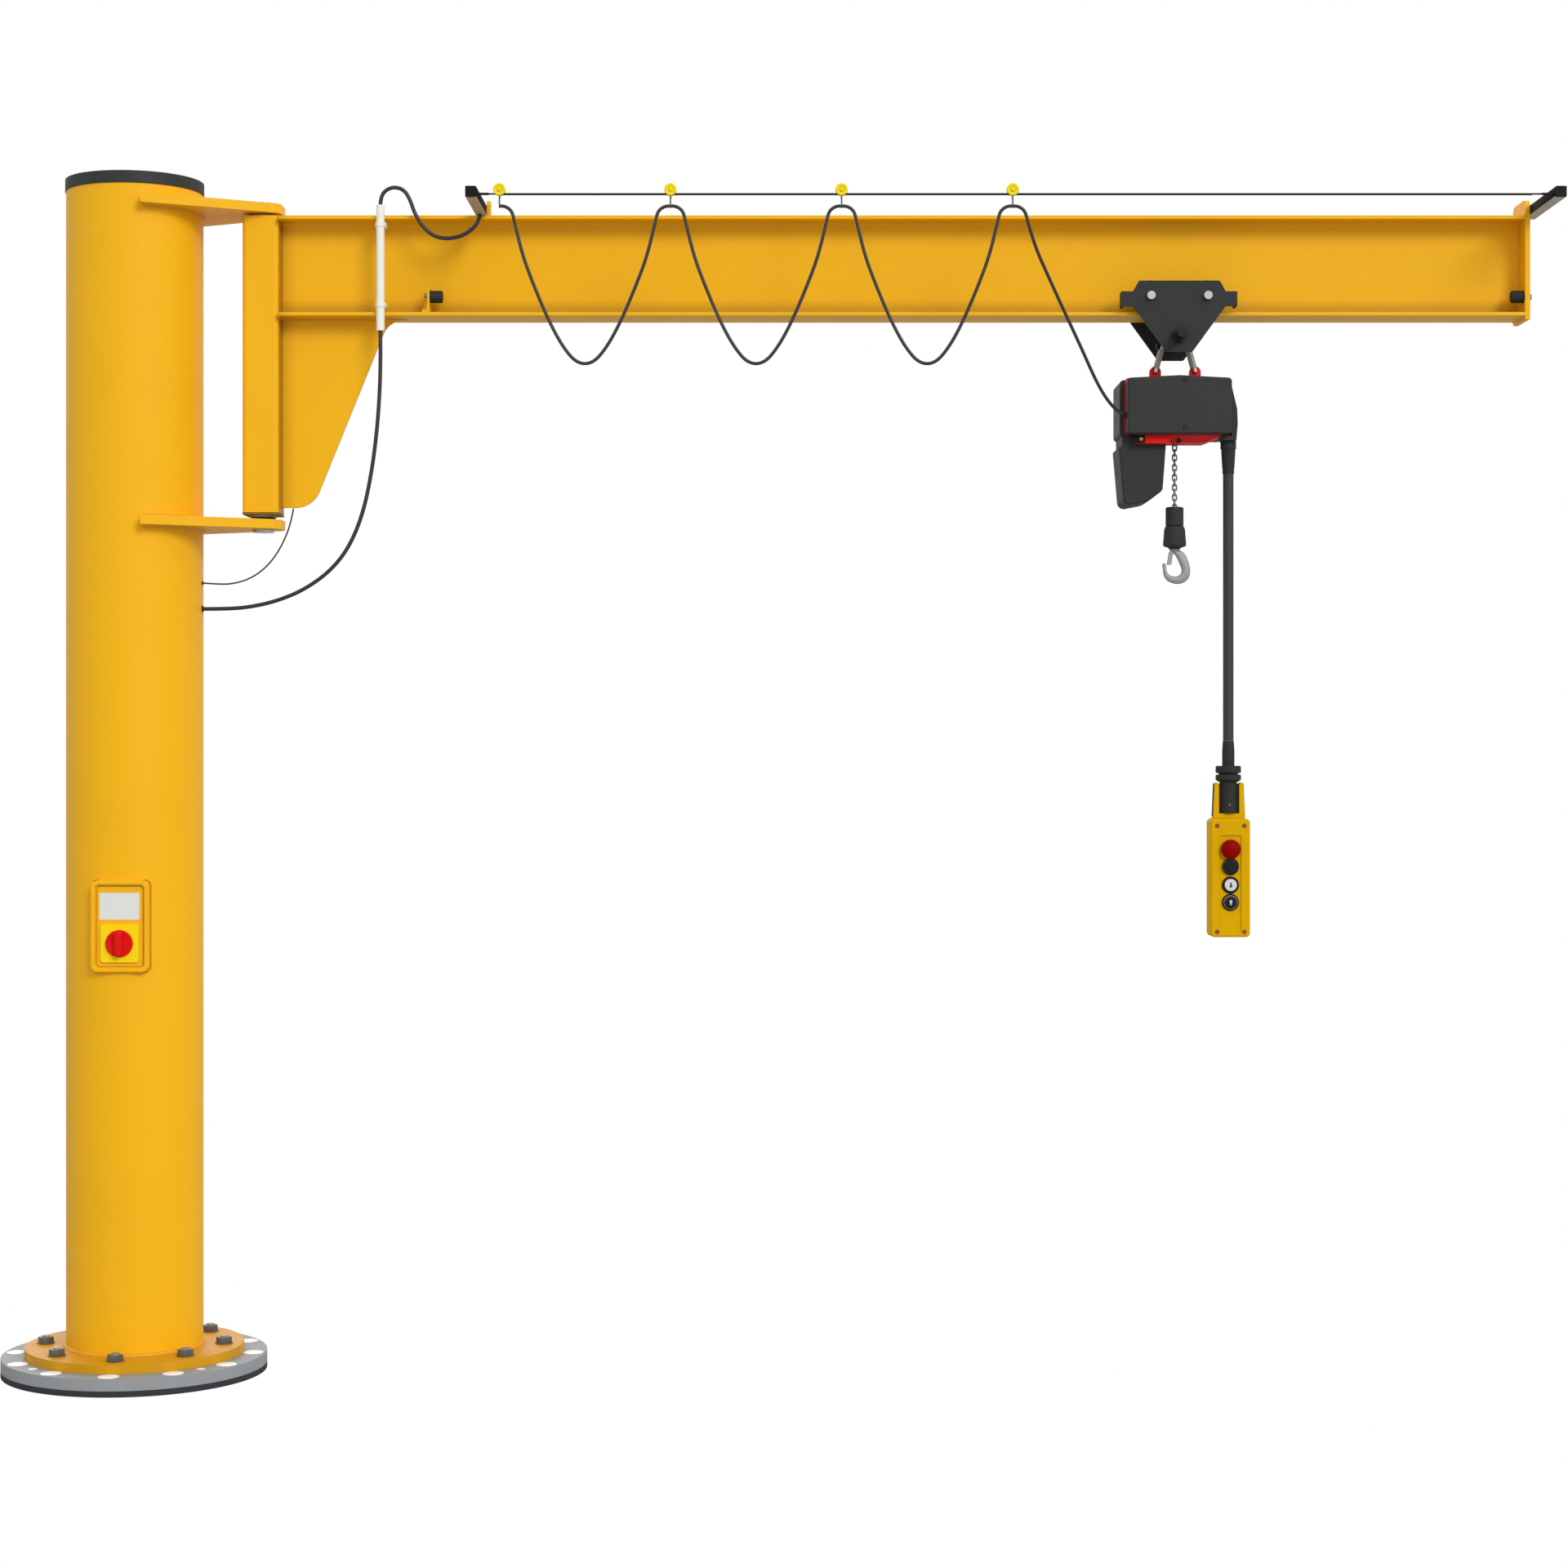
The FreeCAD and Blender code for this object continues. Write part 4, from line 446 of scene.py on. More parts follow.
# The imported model's nodes that each material is for
NODE_MATERIALS = {
    "mat_dark": "floor_mat",
    "plate_grey": "anchor_plate",
    "paint_column": "column_tube",
    "paint_flange_painted_shade": "base_flange",
    "paint_yellow": "bearing_plate_upper bearing_plate_lower beam_end_plate stop_brackets arm_lug "
                    "switch_frame",
    "paint_beam_painted_shade": "jib_beam",
    "paint_haunch_painted_shade": "haunch_plate",
    "paint_post_painted_shade": "pivot_post",
    "rail_grey": "wire_arms",
    "wire_steel": "tension_wire",
    "wheel_steel": "trolley_wheels",
    "cap_slate": "column_cap",
    "black_plastic": "column_glands arm_caps",
    "steel_bright": "pivot_pins wheel_axles suspension_links",
    "rubber_black": "buffers hoist_glands pendant_gland",
    "conduit_white": "cable_conduit",
    "switch_yellow": "isolator_plate",
    "knob_red": "isolator_knob",
    "roller_yellow": "cable_clip_fixed cable_trolley_2 cable_trolley_3 cable_trolley_4",
    "trolley_dark": "trolley_plates",
    "bar_black": "suspension_bar",
    "hoist_red": "hoist_housing",
    "hoist_cover": "hoist_cover_front hoist_cover_rear hoist_side_box",
    "container_dark": "chain_container chain_sleeve hook_block",
    "pendant_yellow": "pendant_body pendant_strap",
    "button_red": "stop_button",
    "button_black": "lift_button travel_button",
    "button_white": "lower_button",
    "chain_steel": "load_chain",
    "hook_steel": "hook hook_latch",
    "cable_black": "festoon_loop_1 festoon_loop_2 festoon_loop_3 festoon_drop supply_cable_lower "
                   "supply_cable_upper pendant_cable",
    "earth_sheath": "earth_cable",
}
for material, names in NODE_MATERIALS.items():
    for name in names.split():
        NODES[name].data.materials.clear()
        NODES[name].data.materials.append(MATERIALS[material])

# Cables

FESTOON_DIAMETER = 0.01
SUPPLY_DIAMETER = 0.012
EARTH_DIAMETER = 0.005
PENDANT_DIAMETER = 0.032
CLIP_RADIUS = 0.0075
CLIP_SPACING = 0.4972
CLIP_X = middle("cable_clip_fixed").x
WIRE_Y = middle("cable_clip_fixed").y
CLIP_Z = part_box("cable_clip_fixed")[0].z + CLIP_RADIUS


def smooth_path(name, points):
    """The points that a NURBS spline goes through, with the route's points as its control points."""
    data = bpy.data.curves.new(name + "_line", "CURVE")
    data.dimensions = "3D"
    data.resolution_u = 10
    line = data.splines.new("NURBS")
    line.points.add(len(points) - 1)
    for point, place in zip(line.points, points):
        point.co = (*place, 1.0)
    line.order_u = 3
    line.use_endpoint_u = True
    holder = bpy.data.objects.new(name + "_line", data)
    scene.collection.objects.link(holder)
    bpy.context.view_layer.update()
    mesh = bpy.data.meshes.new_from_object(holder)
    path = [vertex.co.copy() for vertex in mesh.vertices]
    bpy.data.objects.remove(holder)
    bpy.data.meshes.remove(mesh)
    bpy.data.curves.remove(data)
    return path


def cable(name, node, points, diameter, slot, body=None, bodies=None):
    """A cable as a mesh tube on the route's spline. It rides on one body, or stays fixed in the model's frame
    when two bodies are named.
    """
    path = smooth_path(name, points)
    build = bmesh.new()
    tube(build, path, diameter / 2, sides=16)
    piece = add_piece(name, build, body, slot, smooth=60)
    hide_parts(node)
    if bodies:
        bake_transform(piece)


FESTOON_HALF = [
    (0, 0), (0.0098, 0), (0.0209, -0.0033), (0.0311, -0.0105), (0.0383, -0.0211), (0.0455, -0.052),
    (0.069, -0.149), (0.105, -0.243), (0.146, -0.339), (0.186, -0.412), (0.226, -0.458),
]
FESTOON_SHAPE = FESTOON_HALF + [(CLIP_SPACING - along, rise) for along, rise in reversed(FESTOON_HALF)]
# Each loop starts at the clip that carries it
for i in range(3):
    start_x = CLIP_X + CLIP_SPACING * i
    cable("festoon_cable_%d" % (i + 1), "festoon_loop_%d" % (i + 1),
          [(start_x + along, WIRE_Y, CLIP_Z + rise) for along, rise in FESTOON_SHAPE],
          FESTOON_DIAMETER, "cable_black", bodies=("jib", "trolley_%d" % (i + 2)))

LAST_CLIP_X = CLIP_X + 3 * CLIP_SPACING
HOIST_ENTRY = (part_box("hoist_cover_front")[0].x - 0.0036, -0.0925, 2.8755)
DROP_SHAPE = [
    (0, -0.35, 0), (0.0098, -0.35, 0), (0.0209, -0.3497, -0.0033), (0.0308, -0.3486, -0.0102),
    (0.0384, -0.346, -0.0206), (0.049, -0.339, -0.06), (0.072, -0.32, -0.123), (0.099, -0.298, -0.176),
    (0.155, -0.254, -0.284), (0.213, -0.208, -0.392), (0.257, -0.173, -0.479), (0.287, -0.146, -0.525),
    (0.314, -0.117, -0.553), (0.336, -0.098, -0.569),
]
drop_points = [(LAST_CLIP_X + across, y, CLIP_Z + rise) for across, y, rise in DROP_SHAPE]
drop_points.append(HOIST_ENTRY)
cable("festoon_cable_drop", "festoon_drop", drop_points, FESTOON_DIAMETER, "cable_black",
      bodies=("jib", "hoist"))

CONDUIT_X, CONDUIT_Y = middle("cable_conduit").xy
CONDUIT_BOTTOM, CONDUIT_TOP = (corner.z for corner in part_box("cable_conduit"))
SUPPLY_EXIT_Z = 2.3
EARTH_EXIT_Z = 2.378
CABLE_START_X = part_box("column_glands")[1].x
supply_points = [(x, y, SUPPLY_EXIT_Z + rise) for x, y, rise in (
    (CABLE_START_X, 0, 0), (0.285, 0, 0), (0.356, -0.007, 0.0065), (0.434, -0.016, 0.024),
    (0.516, -0.024, 0.057), (0.596, -0.033, 0.113), (0.6545, -0.043, 0.185), (0.697, -0.053, 0.286),
    (0.7225, -0.063, 0.4), (0.739, -0.072, 0.512), (0.749, -0.08, 0.62), (0.754, -0.0865, 0.725))]
supply_points.append((CONDUIT_X, CONDUIT_Y, CONDUIT_BOTTOM))
cable("supply_cable", "supply_cable_lower", supply_points, SUPPLY_DIAMETER, "cable_black",
      bodies=("column", "jib"))

upper_points = [(CONDUIT_X + across, y, CONDUIT_TOP + rise) for across, y, rise in (
    (0, CONDUIT_Y, 0), (0.001, -0.088, 0.0245), (0.0165, -0.0895, 0.0458), (0.0431, -0.092, 0.0543),
    (0.0715, -0.094, 0.045), (0.0895, -0.0955, 0.0165), (0.1045, -0.0965, -0.029), (0.1315, -0.097, -0.071),
    (0.1645, -0.097, -0.096), (0.2035, -0.097, -0.102), (0.2445, -0.097, -0.094), (0.2775, -0.097, -0.073),
    (0.2945, -0.097, -0.049))]
upper_points.append((1.053, -0.097, BEAM_TOP - 0.0012))
cable("supply_cable_top", "supply_cable_upper", upper_points, SUPPLY_DIAMETER, "cable_black", body="jib")

earth_points = [(x, y, EARTH_EXIT_Z + rise) for x, y, rise in (
    (CABLE_START_X, 0, 0), (0.262, 0, -0.004), (0.3, 0.001, -0.001), (0.338, 0.0015, 0.01),
    (0.374, 0.002, 0.03), (0.406, 0.002, 0.059), (0.433, 0.002, 0.096), (0.454, 0.002, 0.137),
    (0.47, 0.001, 0.18))]
earth_points.append((0.479, 0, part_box("haunch_plate")[0].z - 0.0015))
cable("earth_lead", "earth_cable", earth_points, EARTH_DIAMETER, "earth_sheath",
      bodies=("column", "jib"))

PENDANT_FOOT, PENDANT_TOP = (corner.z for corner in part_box("pendant_cable"))
pendant_points = [(PENDANT_X, PENDANT_Y, z) for z in
                  (PENDANT_TOP, PENDANT_TOP - 0.2, PENDANT_FOOT + 0.2, PENDANT_FOOT)]
cable("pendant_lead", "pendant_cable", pendant_points, PENDANT_DIAMETER, "cable_black", body="hoist")

# Foot: anchor plugs, levelling plugs and the flange's bolts

ANCHOR_CIRCLE = 0.357
ANCHOR_HOLE = 0.028
LEVELLING_CIRCLE = 0.35
LEVELLING_HOLE = 0.012
FLANGE_CIRCLE = 0.269


def anchor_plugs():
    build = bmesh.new()
    hole = ANCHOR_HOLE
    for top in circle((0, 0, PLATE_TOP), ANCHOR_CIRCLE, 12):
        lathe(build, [(hole * 0.985, -0.02), (hole * 0.985, 0.0002), (hole + 0.003, 0.0002),
                      (hole + 0.003, 0.0007), (hole + 0.0022, 0.0012), (hole * 0.5, 0.0015)], top, Z_AXIS)
    hole = LEVELLING_HOLE
    for top in circle((0, 0, PLATE_TOP), LEVELLING_CIRCLE, 4, first=math.pi / 4):
        lathe(build, [(hole * 0.97, -0.018), (hole * 0.97, 0.0002), (hole + 0.0014, 0.0002),
                      (hole + 0.0014, 0.0006), (hole * 0.6, 0.001)], top, Z_AXIS, 28)
    add_piece("anchor_plugs", build, "column", "conduit_white", "plug_white")


def flange_bolts():
    build = bmesh.new()
    for foot in circle((0, 0, FLANGE_TOP), FLANGE_CIRCLE, 8):
        hex_bolt(build, foot, Z_AXIS, 0.041, 0.0165, washer=0.0265, top=1)
        lathe(build, [(0.012, 0.018), (0.012, 0.0225), (0.0108, 0.024)], foot, Z_AXIS, 24, 1)
    add_piece("flange_bolts", build, "column", "steel_bright", "bolt_side", "bolt_steel")


anchor_plugs()
flange_bolts()

# Weld beads on the column and the jib

HAUNCH_FOOT_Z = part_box("haunch_plate")[0].z
HAUNCH_END, HAUNCH_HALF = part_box("haunch_plate")[1].xy
WEB_HALF = 0.00355
WEB_MARGIN = 0.02
FLANGE_WELD = 0.0075
PLATE_WELD = 0.0065
JIB_WELD = 0.0045


def column_welds():
    build = bmesh.new()
    steps = round(2 * math.pi * COLUMN_RADIUS / WELD_STEP)
    weld(build, circle((0, 0, FLANGE_TOP), COLUMN_RADIUS, steps), FLANGE_WELD, closed=True)
    for node in ("bearing_plate_upper", "bearing_plate_lower"):
        low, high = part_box(node)
        reach = math.acos(low.x / COLUMN_RADIUS)
        angles = [reach * (2 * i / 160 - 1) for i in range(161)]
        for z in (low.z, high.z):
            weld(build, [(COLUMN_RADIUS * math.cos(a), COLUMN_RADIUS * math.sin(a), z) for a in angles],
                 PLATE_WELD)
    add_piece("column_welds", build, "column", "paint_yellow", "weld_paint_painted_shade", smooth=80)


def jib_welds():
    build = bmesh.new()
    for side in (-1, 1):
        weld_line(build, (BEAM_START, side * BEAM_HALF * 0.72, BEAM_TOP), (BEAM_START, 0, BEAM_TOP), JIB_WELD)
        y = side * HAUNCH_HALF
        weld_line(build, (BEAM_START, y, BEAM_BOTTOM), (HAUNCH_END, y, BEAM_BOTTOM), JIB_WELD)
        for z in (BEAM_TOP, BEAM_BOTTOM):
            weld_line(build, (BEAM_START, side * 0.054, z), (BEAM_START, side * 0.002, z), JIB_WELD * 0.9)
    for z in (BEAM_TOP, BEAM_BOTTOM):
        weld_line(build, (BEAM_END, -BEAM_HALF + 0.003, z), (BEAM_END, BEAM_HALF - 0.003, z), JIB_WELD * 0.8)
    web_low, web_high = BEAM_BOTTOM + WEB_MARGIN, BEAM_TOP - WEB_MARGIN
    for side in (-1, 1):
        y = side * WEB_HALF
        weld_line(build, (BEAM_END, y, web_low), (BEAM_END, y, web_high), JIB_WELD * 0.8)
    add_piece("jib_welds", build, "jib", "paint_yellow", "weld_paint_painted_shade", smooth=80)

    # Upright welds at the beam's start, in the darker yellow of painted shade
    build = bmesh.new()
    for side in (-1, 1):
        for y, low_z, high_z in ((WEB_HALF, web_low, web_high), (HAUNCH_HALF, HAUNCH_FOOT_Z, BEAM_BOTTOM)):
            weld_line(build, (BEAM_START, side * y, low_z), (BEAM_START, side * y, high_z), JIB_WELD)
    add_piece("post_welds", build, "jib", "paint_yellow", "post_weld_painted_shade", smooth=80)


column_welds()
jib_welds()

# Bolts and nuts on the jib


def jib_bolts():
    build = bmesh.new()
    wall_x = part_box("stop_brackets")[1].x - 0.007
    end_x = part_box("beam_end_plate")[1].x
    for y in (-0.05, 0.05):
        hex_bolt(build, (end_x, y, BEAM_BOTTOM + 0.059), X_AXIS, 0.016, 0.008, washer=0.012)
        hex_bolt(build, (wall_x, y * 1.25, BEAM_BOTTOM + 0.062), -X_AXIS, 0.013, 0.0085, washer=0.0085)
    add_piece("jib_bolts", build, "jib", "steel_bright", "bolt_steel")


jib_bolts()

# Pivot post: thrust rings at its two ends, a black ring of painted shadow under the lower one, and the rim of
# its foot in painted shade

PIVOT = middle("pivot_pins")
THRUST_INNER = 0.0334
THRUST_OUTER = 0.041
SEAL_RADIUS = 0.0366
FOOT_HEIGHT = 0.0075
FOOT_HALF = 0.054
FOOT_HOLE_HALF = 0.0345


def thrust_rings():
    build = bmesh.new()
    low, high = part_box("pivot_post")
    for z, outward, height in ((low.z - FOOT_HEIGHT, -1, 0.005), (high.z, 1, 0.007)):
        lathe(build, [(THRUST_INNER, 0), (THRUST_INNER, height - 0.0008), (THRUST_INNER + 0.0008, height),
                      (THRUST_OUTER - 0.001, height), (THRUST_OUTER, height - 0.001), (THRUST_OUTER, 0)],
              (PIVOT.x, 0, z), Z_AXIS * outward, 64, hollow=True)
    add_piece("thrust_rings", build, "jib", "steel_bright", "ring_dark")
    # A black ring under the lower thrust ring: painted shadow
    build = bmesh.new()
    lathe(build, [(THRUST_INNER, 0.0123), (THRUST_INNER, 0.0185), (SEAL_RADIUS - 0.0006, 0.0185),
                  (SEAL_RADIUS, 0.0179), (SEAL_RADIUS, 0.0123)],
          (PIVOT.x, 0, low.z), -Z_AXIS, 64, hollow=True)
    add_piece("thrust_ring_shadow", build, "jib", "rubber_black", "black_plastic")


def post_foot():
    """The rim of the plate that closes the foot of the pivot post, dark olive as painted shade under the
    post.
    """
    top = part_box("pivot_post")[0].z + 0.0002
    bottom = top - 0.0002 - FOOT_HEIGHT
    build = bmesh.new()
    for side in (-1, 1):
        y = sorted((side * FOOT_HOLE_HALF, side * FOOT_HALF))
        block(build, (PIVOT.x - FOOT_HALF, y[0], bottom), (PIVOT.x + FOOT_HALF, y[1], top), 0.0012)
        x = sorted((PIVOT.x + side * FOOT_HOLE_HALF, PIVOT.x + side * FOOT_HALF))
        block(build, (x[0], -FOOT_HOLE_HALF - 0.002, bottom), (x[1], FOOT_HOLE_HALF + 0.002, top), 0.0012)
    add_piece("post_foot", build, "jib", "paint_yellow", "foot_painted_shade")


thrust_rings()
post_foot()

# Rubber buffers: at the beam's end and on the stop brackets

BUFFER_RADIUS = 0.019
BUFFER_LENGTH = 0.038
BUFFER_OUTLINE = [
    (BUFFER_RADIUS - 0.001, 0), (BUFFER_RADIUS, 0.0008), (BUFFER_RADIUS, 0.004),
    (BUFFER_RADIUS - 0.0008, 0.0052), (BUFFER_RADIUS - 0.0004, BUFFER_LENGTH - 0.0045),
    (BUFFER_RADIUS - 0.0018, BUFFER_LENGTH - 0.0015), (BUFFER_RADIUS - 0.005, BUFFER_LENGTH),
]


def rubber_buffers():
    low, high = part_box("buffers")
    build = bmesh.new()
    for side in (-1, 1):
        y = side * (high.y - BUFFER_RADIUS)
        for root_x, ahead in ((low.x, X_AXIS), (high.x, -X_AXIS)):
            lathe(build, BUFFER_OUTLINE, (root_x, y, (low.z + high.z) / 2), ahead, 48)
    piece = add_piece("rubber_buffers", build, "jib", "rubber_black")
    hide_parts("buffers")


rubber_buffers()

# On the jib: black sheets of painted shade on the rails' slotted faces, the conduit's saddles and the wire's
# jacket

RAIL_SIZE = 0.032
RAIL_STRIP_MARGIN = 0.003
RAIL_STRIP_THICKNESS = 0.001
WIRE_DROP = 0.0311
WIRE_FITTING = 0.075
WIRE_JACKET_RADIUS = 0.0033


def rail_slot_painted_shade():
    """Black sheets over the slotted faces of the two rails: painted shade of their deep slots."""
    low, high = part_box("wire_arms")
    build = bmesh.new()
    inner_face = low.x + RAIL_SIZE
    outer_face = high.x - RAIL_SIZE
    for face, outward, far_y in ((inner_face, 1, -0.02), (outer_face, -1, -0.01)):
        start, end = sorted((face, face + outward * RAIL_STRIP_THICKNESS))
        block(build, (start, low.y, low.z + RAIL_STRIP_MARGIN), (end, far_y, high.z - RAIL_STRIP_MARGIN),
              0.0003)
    add_piece("rail_slot_painted_shade", build, "jib", "rubber_black", "slot_painted_shade_black")


def conduit_saddles():
    """Half-round straps with feet that hold the conduit to the edges of the beam's flanges."""
    radius = half_width("cable_conduit")
    centre = middle("cable_conduit")
    build = bmesh.new()
    for z in (BEAM_TOP - 0.03, BEAM_BOTTOM + 0.03):
        outline = [(math.cos(a) * radius, -math.sin(a) * radius)
                   for a in (math.pi * i / 16 for i in range(17))]
        rings = []
        for grow, rise in ((0.0002, -0.007), (0.0017, -0.007), (0.0017, 0.007), (0.0002, 0.007)):
            share = 1 + grow / radius
            rings.append([build.verts.new((centre.x + u * share, centre.y + v * share, z + rise))
                          for u, v in outline])
        bridge(build, rings, closed_ring=False, closed_path=True)
        for side in (-1, 1):
            foot = Vector((centre.x + side * (radius + 0.0015), centre.y, z - 0.007))
            block(build, foot - Vector((0.0015, 0, 0)), foot + Vector((0.0015, radius + 0.03, 0.014)),
                  0.0004)
    add_piece("conduit_saddles", build, "jib", "conduit_white")


def wire_jacket():
    """The plastic jacket of the tension wire, between its end fittings."""
    low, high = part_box("tension_wire")
    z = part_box("cable_trolley_2")[1].z - WIRE_DROP
    build = bmesh.new()
    tube(build, [(low.x + WIRE_FITTING, WIRE_Y, z), ((low.x + high.x) / 2, WIRE_Y, z),
                 (high.x - WIRE_FITTING, WIRE_Y, z)], WIRE_JACKET_RADIUS, sides=12)
    add_piece("wire_jacket", build, "jib", "steel_bright", "wire_steel")


rail_slot_painted_shade()
conduit_saddles()
wire_jacket()

# Cable trolleys: a grooved roller on a bent hanger

ROLLER_WIDTH = 0.015
HANGER_WIDTH = 0.005
HANGER_THICKNESS = 0.002
EYE_RADIUS = 0.0058
EYE_WIRE_RADIUS = 0.0014


def cable_trolley(node, body):
    x = middle(node).x
    radius = half_width(node)
    axle = Vector((x, WIRE_Y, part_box(node)[1].z - radius))
    half = ROLLER_WIDTH / 2
    build = bmesh.new()
    side = [(0.0105, -half + 0.0012), (0.0115, -half + 0.0004), (0.0165, -half), (radius, -half + 0.0012),
            (radius, -half + 0.0028), (0.0112, -0.003), (0.0095, -0.0014)]
    lathe(build, side + [(r, -y) for r, y in reversed(side)], axle, Y_AXIS, 48)
    lathe(build, [(0.003, -half + 0.0002), (0.006, -half), (0.006, -half - 0.0012),
                  (0.0048, -half - 0.0022), (0.001, -half - 0.0026)], axle, Y_AXIS, 28)
    piece = add_piece("roller_of_" + node, build, body, "roller_yellow", smooth=45)
    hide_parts(node)

    build = bmesh.new()
    back = half + 0.0003
    eye = Vector((x, WIRE_Y, CLIP_Z))
    strip = [axle + Vector((0, back + HANGER_THICKNESS / 2, 0.004))]
    strip += [eye + Vector((0, y, rise)) for y, rise in (
        (back + HANGER_THICKNESS / 2, 0.026), (back * 0.8, 0.0225), (back * 0.2, 0.021), (0, 0.018),
        (0, 0.0062))]
    tube(build, strip, HANGER_WIDTH / 2, sides=10)
    tube(build, circle(eye, EYE_RADIUS, 28, Y_AXIS, Z_AXIS), EYE_WIRE_RADIUS, sides=8, closed=True)
    lathe(build, [(0.003, half), (0.0046, half + 0.0024), (0.0038, half + 0.0034)], axle, Y_AXIS, 24)
    add_piece("hanger_of_" + node, build, body, "steel_bright", "wheel_steel", smooth=50)


cable_trolley("cable_clip_fixed", "jib")
for i in (2, 3, 4):
    cable_trolley("cable_trolley_%d" % i, "trolley_%d" % i)

# Main switch: a bare label, dark lines of painted shade round its frame, and the knob with its grip

SWITCH_FLOOR_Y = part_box("isolator_plate")[1].y + 0.0003
LABEL_X = -0.0012
LABEL_Z = 1.4116


def switch_pieces():
    build = bmesh.new()
    label = rounded_outline(0.1185, 0.0797, 0.002, 3)
    slab(build, label, (LABEL_X, SWITCH_FLOOR_Y, LABEL_Z), -0.0006)
    add_piece("switch_label", build, "column", "conduit_white", "label_white")

    low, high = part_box("switch_frame")
    centre = middle("switch_frame")
    # Dark lines round the frame's outside and its inner edge: painted shade
    build = bmesh.new()
    shade_line = []
    for u, v in rounded_outline(high.x - low.x + 0.003, high.z - low.z + 0.003, 0.0165, 10):
        x = centre.x + u
        shade_line.append((x, -math.sqrt(COLUMN_RADIUS ** 2 - x * x) - 0.0004, centre.z + v))
    tube(build, shade_line, 0.0017, sides=8, closed=True)
    floor_shade_line = [(centre.x + u, SWITCH_FLOOR_Y, centre.z + v)
                  for u, v in rounded_outline(0.136, 0.2365, 0.01, 10)]
    tube(build, floor_shade_line, 0.0015, sides=8, closed=True)
    add_piece("switch_outline_painted_shade", build, "column", "rubber_black", "frame_outline_painted_shade")

    low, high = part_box("isolator_knob")
    radius = half_width("isolator_knob")
    hub = Vector((0, high.y, (low.z + high.z) / 2))
    build = bmesh.new()
    lathe(build, [(radius - 0.0008, 0), (radius, 0.0008), (radius, 0.0068), (radius - 0.0018, 0.0086),
                  (radius - 0.0045, 0.009), (radius - 0.006, 0.0082), (0.018, 0.0082)], hub, -Y_AXIS, 72)
    grip = rounded_outline(0.022, radius * 1.84, 0.0105, 8)
    slab(build, grip, hub - Y_AXIS * 0.007, low.y - high.y + 0.0072, 0.003, 3)
    piece = add_piece("switch_knob", build, "isolator", "knob_red")
    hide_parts("isolator_knob")


switch_pieces()

# Hoist: cover screws, the foot block with its bolt, the chain guide, and sleeves on the suspension links

SLEEVE_RADIUS = 0.0078
LINK_HALF_WIDTH = 0.015
LINK_TOP = Vector((0.038, 0, -0.0055))
LINK_FOOT = Vector((0.06, 0, 0.0055))


def hoist_pieces():
    low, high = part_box("hoist_cover_front")
    build = bmesh.new()
    for z in (high.z - 0.014, low.z + 0.02):
        for face_y, outward in ((low.y, -1), (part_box("hoist_cover_rear")[1].y, 1)):
            lathe(build, [(0.0075, -0.004), (0.0075, 0.0002), (0.0068, 0.0005), (0.005, 0.0005),
                          (0.0046, -0.0004)], (HOIST_X + 0.014, face_y, z), Y_AXIS * outward, 28)
    add_piece("cover_screws", build, "hoist", "rubber_black", "black_plastic")

    build = bmesh.new()
    block(build, (low.x + 0.02, -0.0998, low.z - 0.025), (low.x + 0.055, -0.096, low.z - 0.0015), 0.001)
    add_piece("foot_block", build, "hoist", "rubber_black", "black_plastic")
    build = bmesh.new()
    hex_bolt(build, (low.x + 0.043, -0.0998, low.z - 0.013), -Y_AXIS, 0.009, 0.005, washer=0.0065)
    add_piece("foot_bolt", build, "hoist", "steel_bright", "brass")

    build = bmesh.new()
    lathe(build, [(0.008, -0.003), (0.008, 0.0006), (0.007, 0.001), (0.0052, 0.001), (0.0048, -0.002)],
          (CHAIN_X, -0.098, low.z - 0.018), -Y_AXIS, 32)
    add_piece("chain_guide", build, "hoist", "rubber_black", "guide_dark")

    low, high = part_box("suspension_links")
    build = bmesh.new()
    for end in (-1, 1):
        for side in (-1, 1):
            top = Vector((HOIST_X + end * LINK_TOP.x, side * LINK_HALF_WIDTH, high.z + LINK_TOP.z))
            foot = Vector((HOIST_X + end * LINK_FOOT.x, side * LINK_HALF_WIDTH, low.z + LINK_FOOT.z))
            length = (foot - top).length
            lathe(build, [(0.0057, 0.014), (SLEEVE_RADIUS - 0.0006, 0.014), (SLEEVE_RADIUS, 0.0146),
                          (SLEEVE_RADIUS, length - 0.0106), (SLEEVE_RADIUS - 0.0006, length - 0.01),
                          (0.0057, length - 0.01)], top, foot - top, 28, hollow=True)
    add_piece("link_sleeves", build, "hoist", "steel_bright", "sleeve_steel")


hoist_pieces()

# Load chain: welded links drawn round

CHAIN_WIRE = 0.005
CHAIN_WIDTH = 0.017
CHAIN_PITCH = 0.015
CHAIN_SEAT = 0.0003


def load_chain():
    low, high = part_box("load_chain")
    inner_half = (CHAIN_PITCH + CHAIN_SEAT) / 2
    bend = (CHAIN_WIDTH - CHAIN_WIRE) / 2
    straight = inner_half + CHAIN_WIRE / 2 - bend
    count = round((high.z - low.z - CHAIN_WIRE * 2 - 2 * inner_half) / CHAIN_PITCH) + 1
    build = bmesh.new()
    for i in range(count):
        centre = Vector((CHAIN_X, 0, low.z + CHAIN_WIRE + inner_half + i * CHAIN_PITCH))
        across = X_AXIS if i % 2 == 0 else Y_AXIS
        points = []
        for end in (1, -1):
            for step in range(9):
                turn = math.pi * step / 8
                points.append(centre + Z_AXIS * end * straight
                              + (across * math.cos(turn) + Z_AXIS * math.sin(turn)) * end * bend)
        tube(build, points, CHAIN_WIRE / 2, sides=12, closed=True)
    piece = add_piece("chain_links", build, "hook_block", "chain_steel", smooth=80)
    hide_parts("load_chain")


load_chain()

# Hook: a smooth forging through the same rows as the solid.
# Each row is (x from the axis, z below the block's foot, width in the hook's plane, thickness).

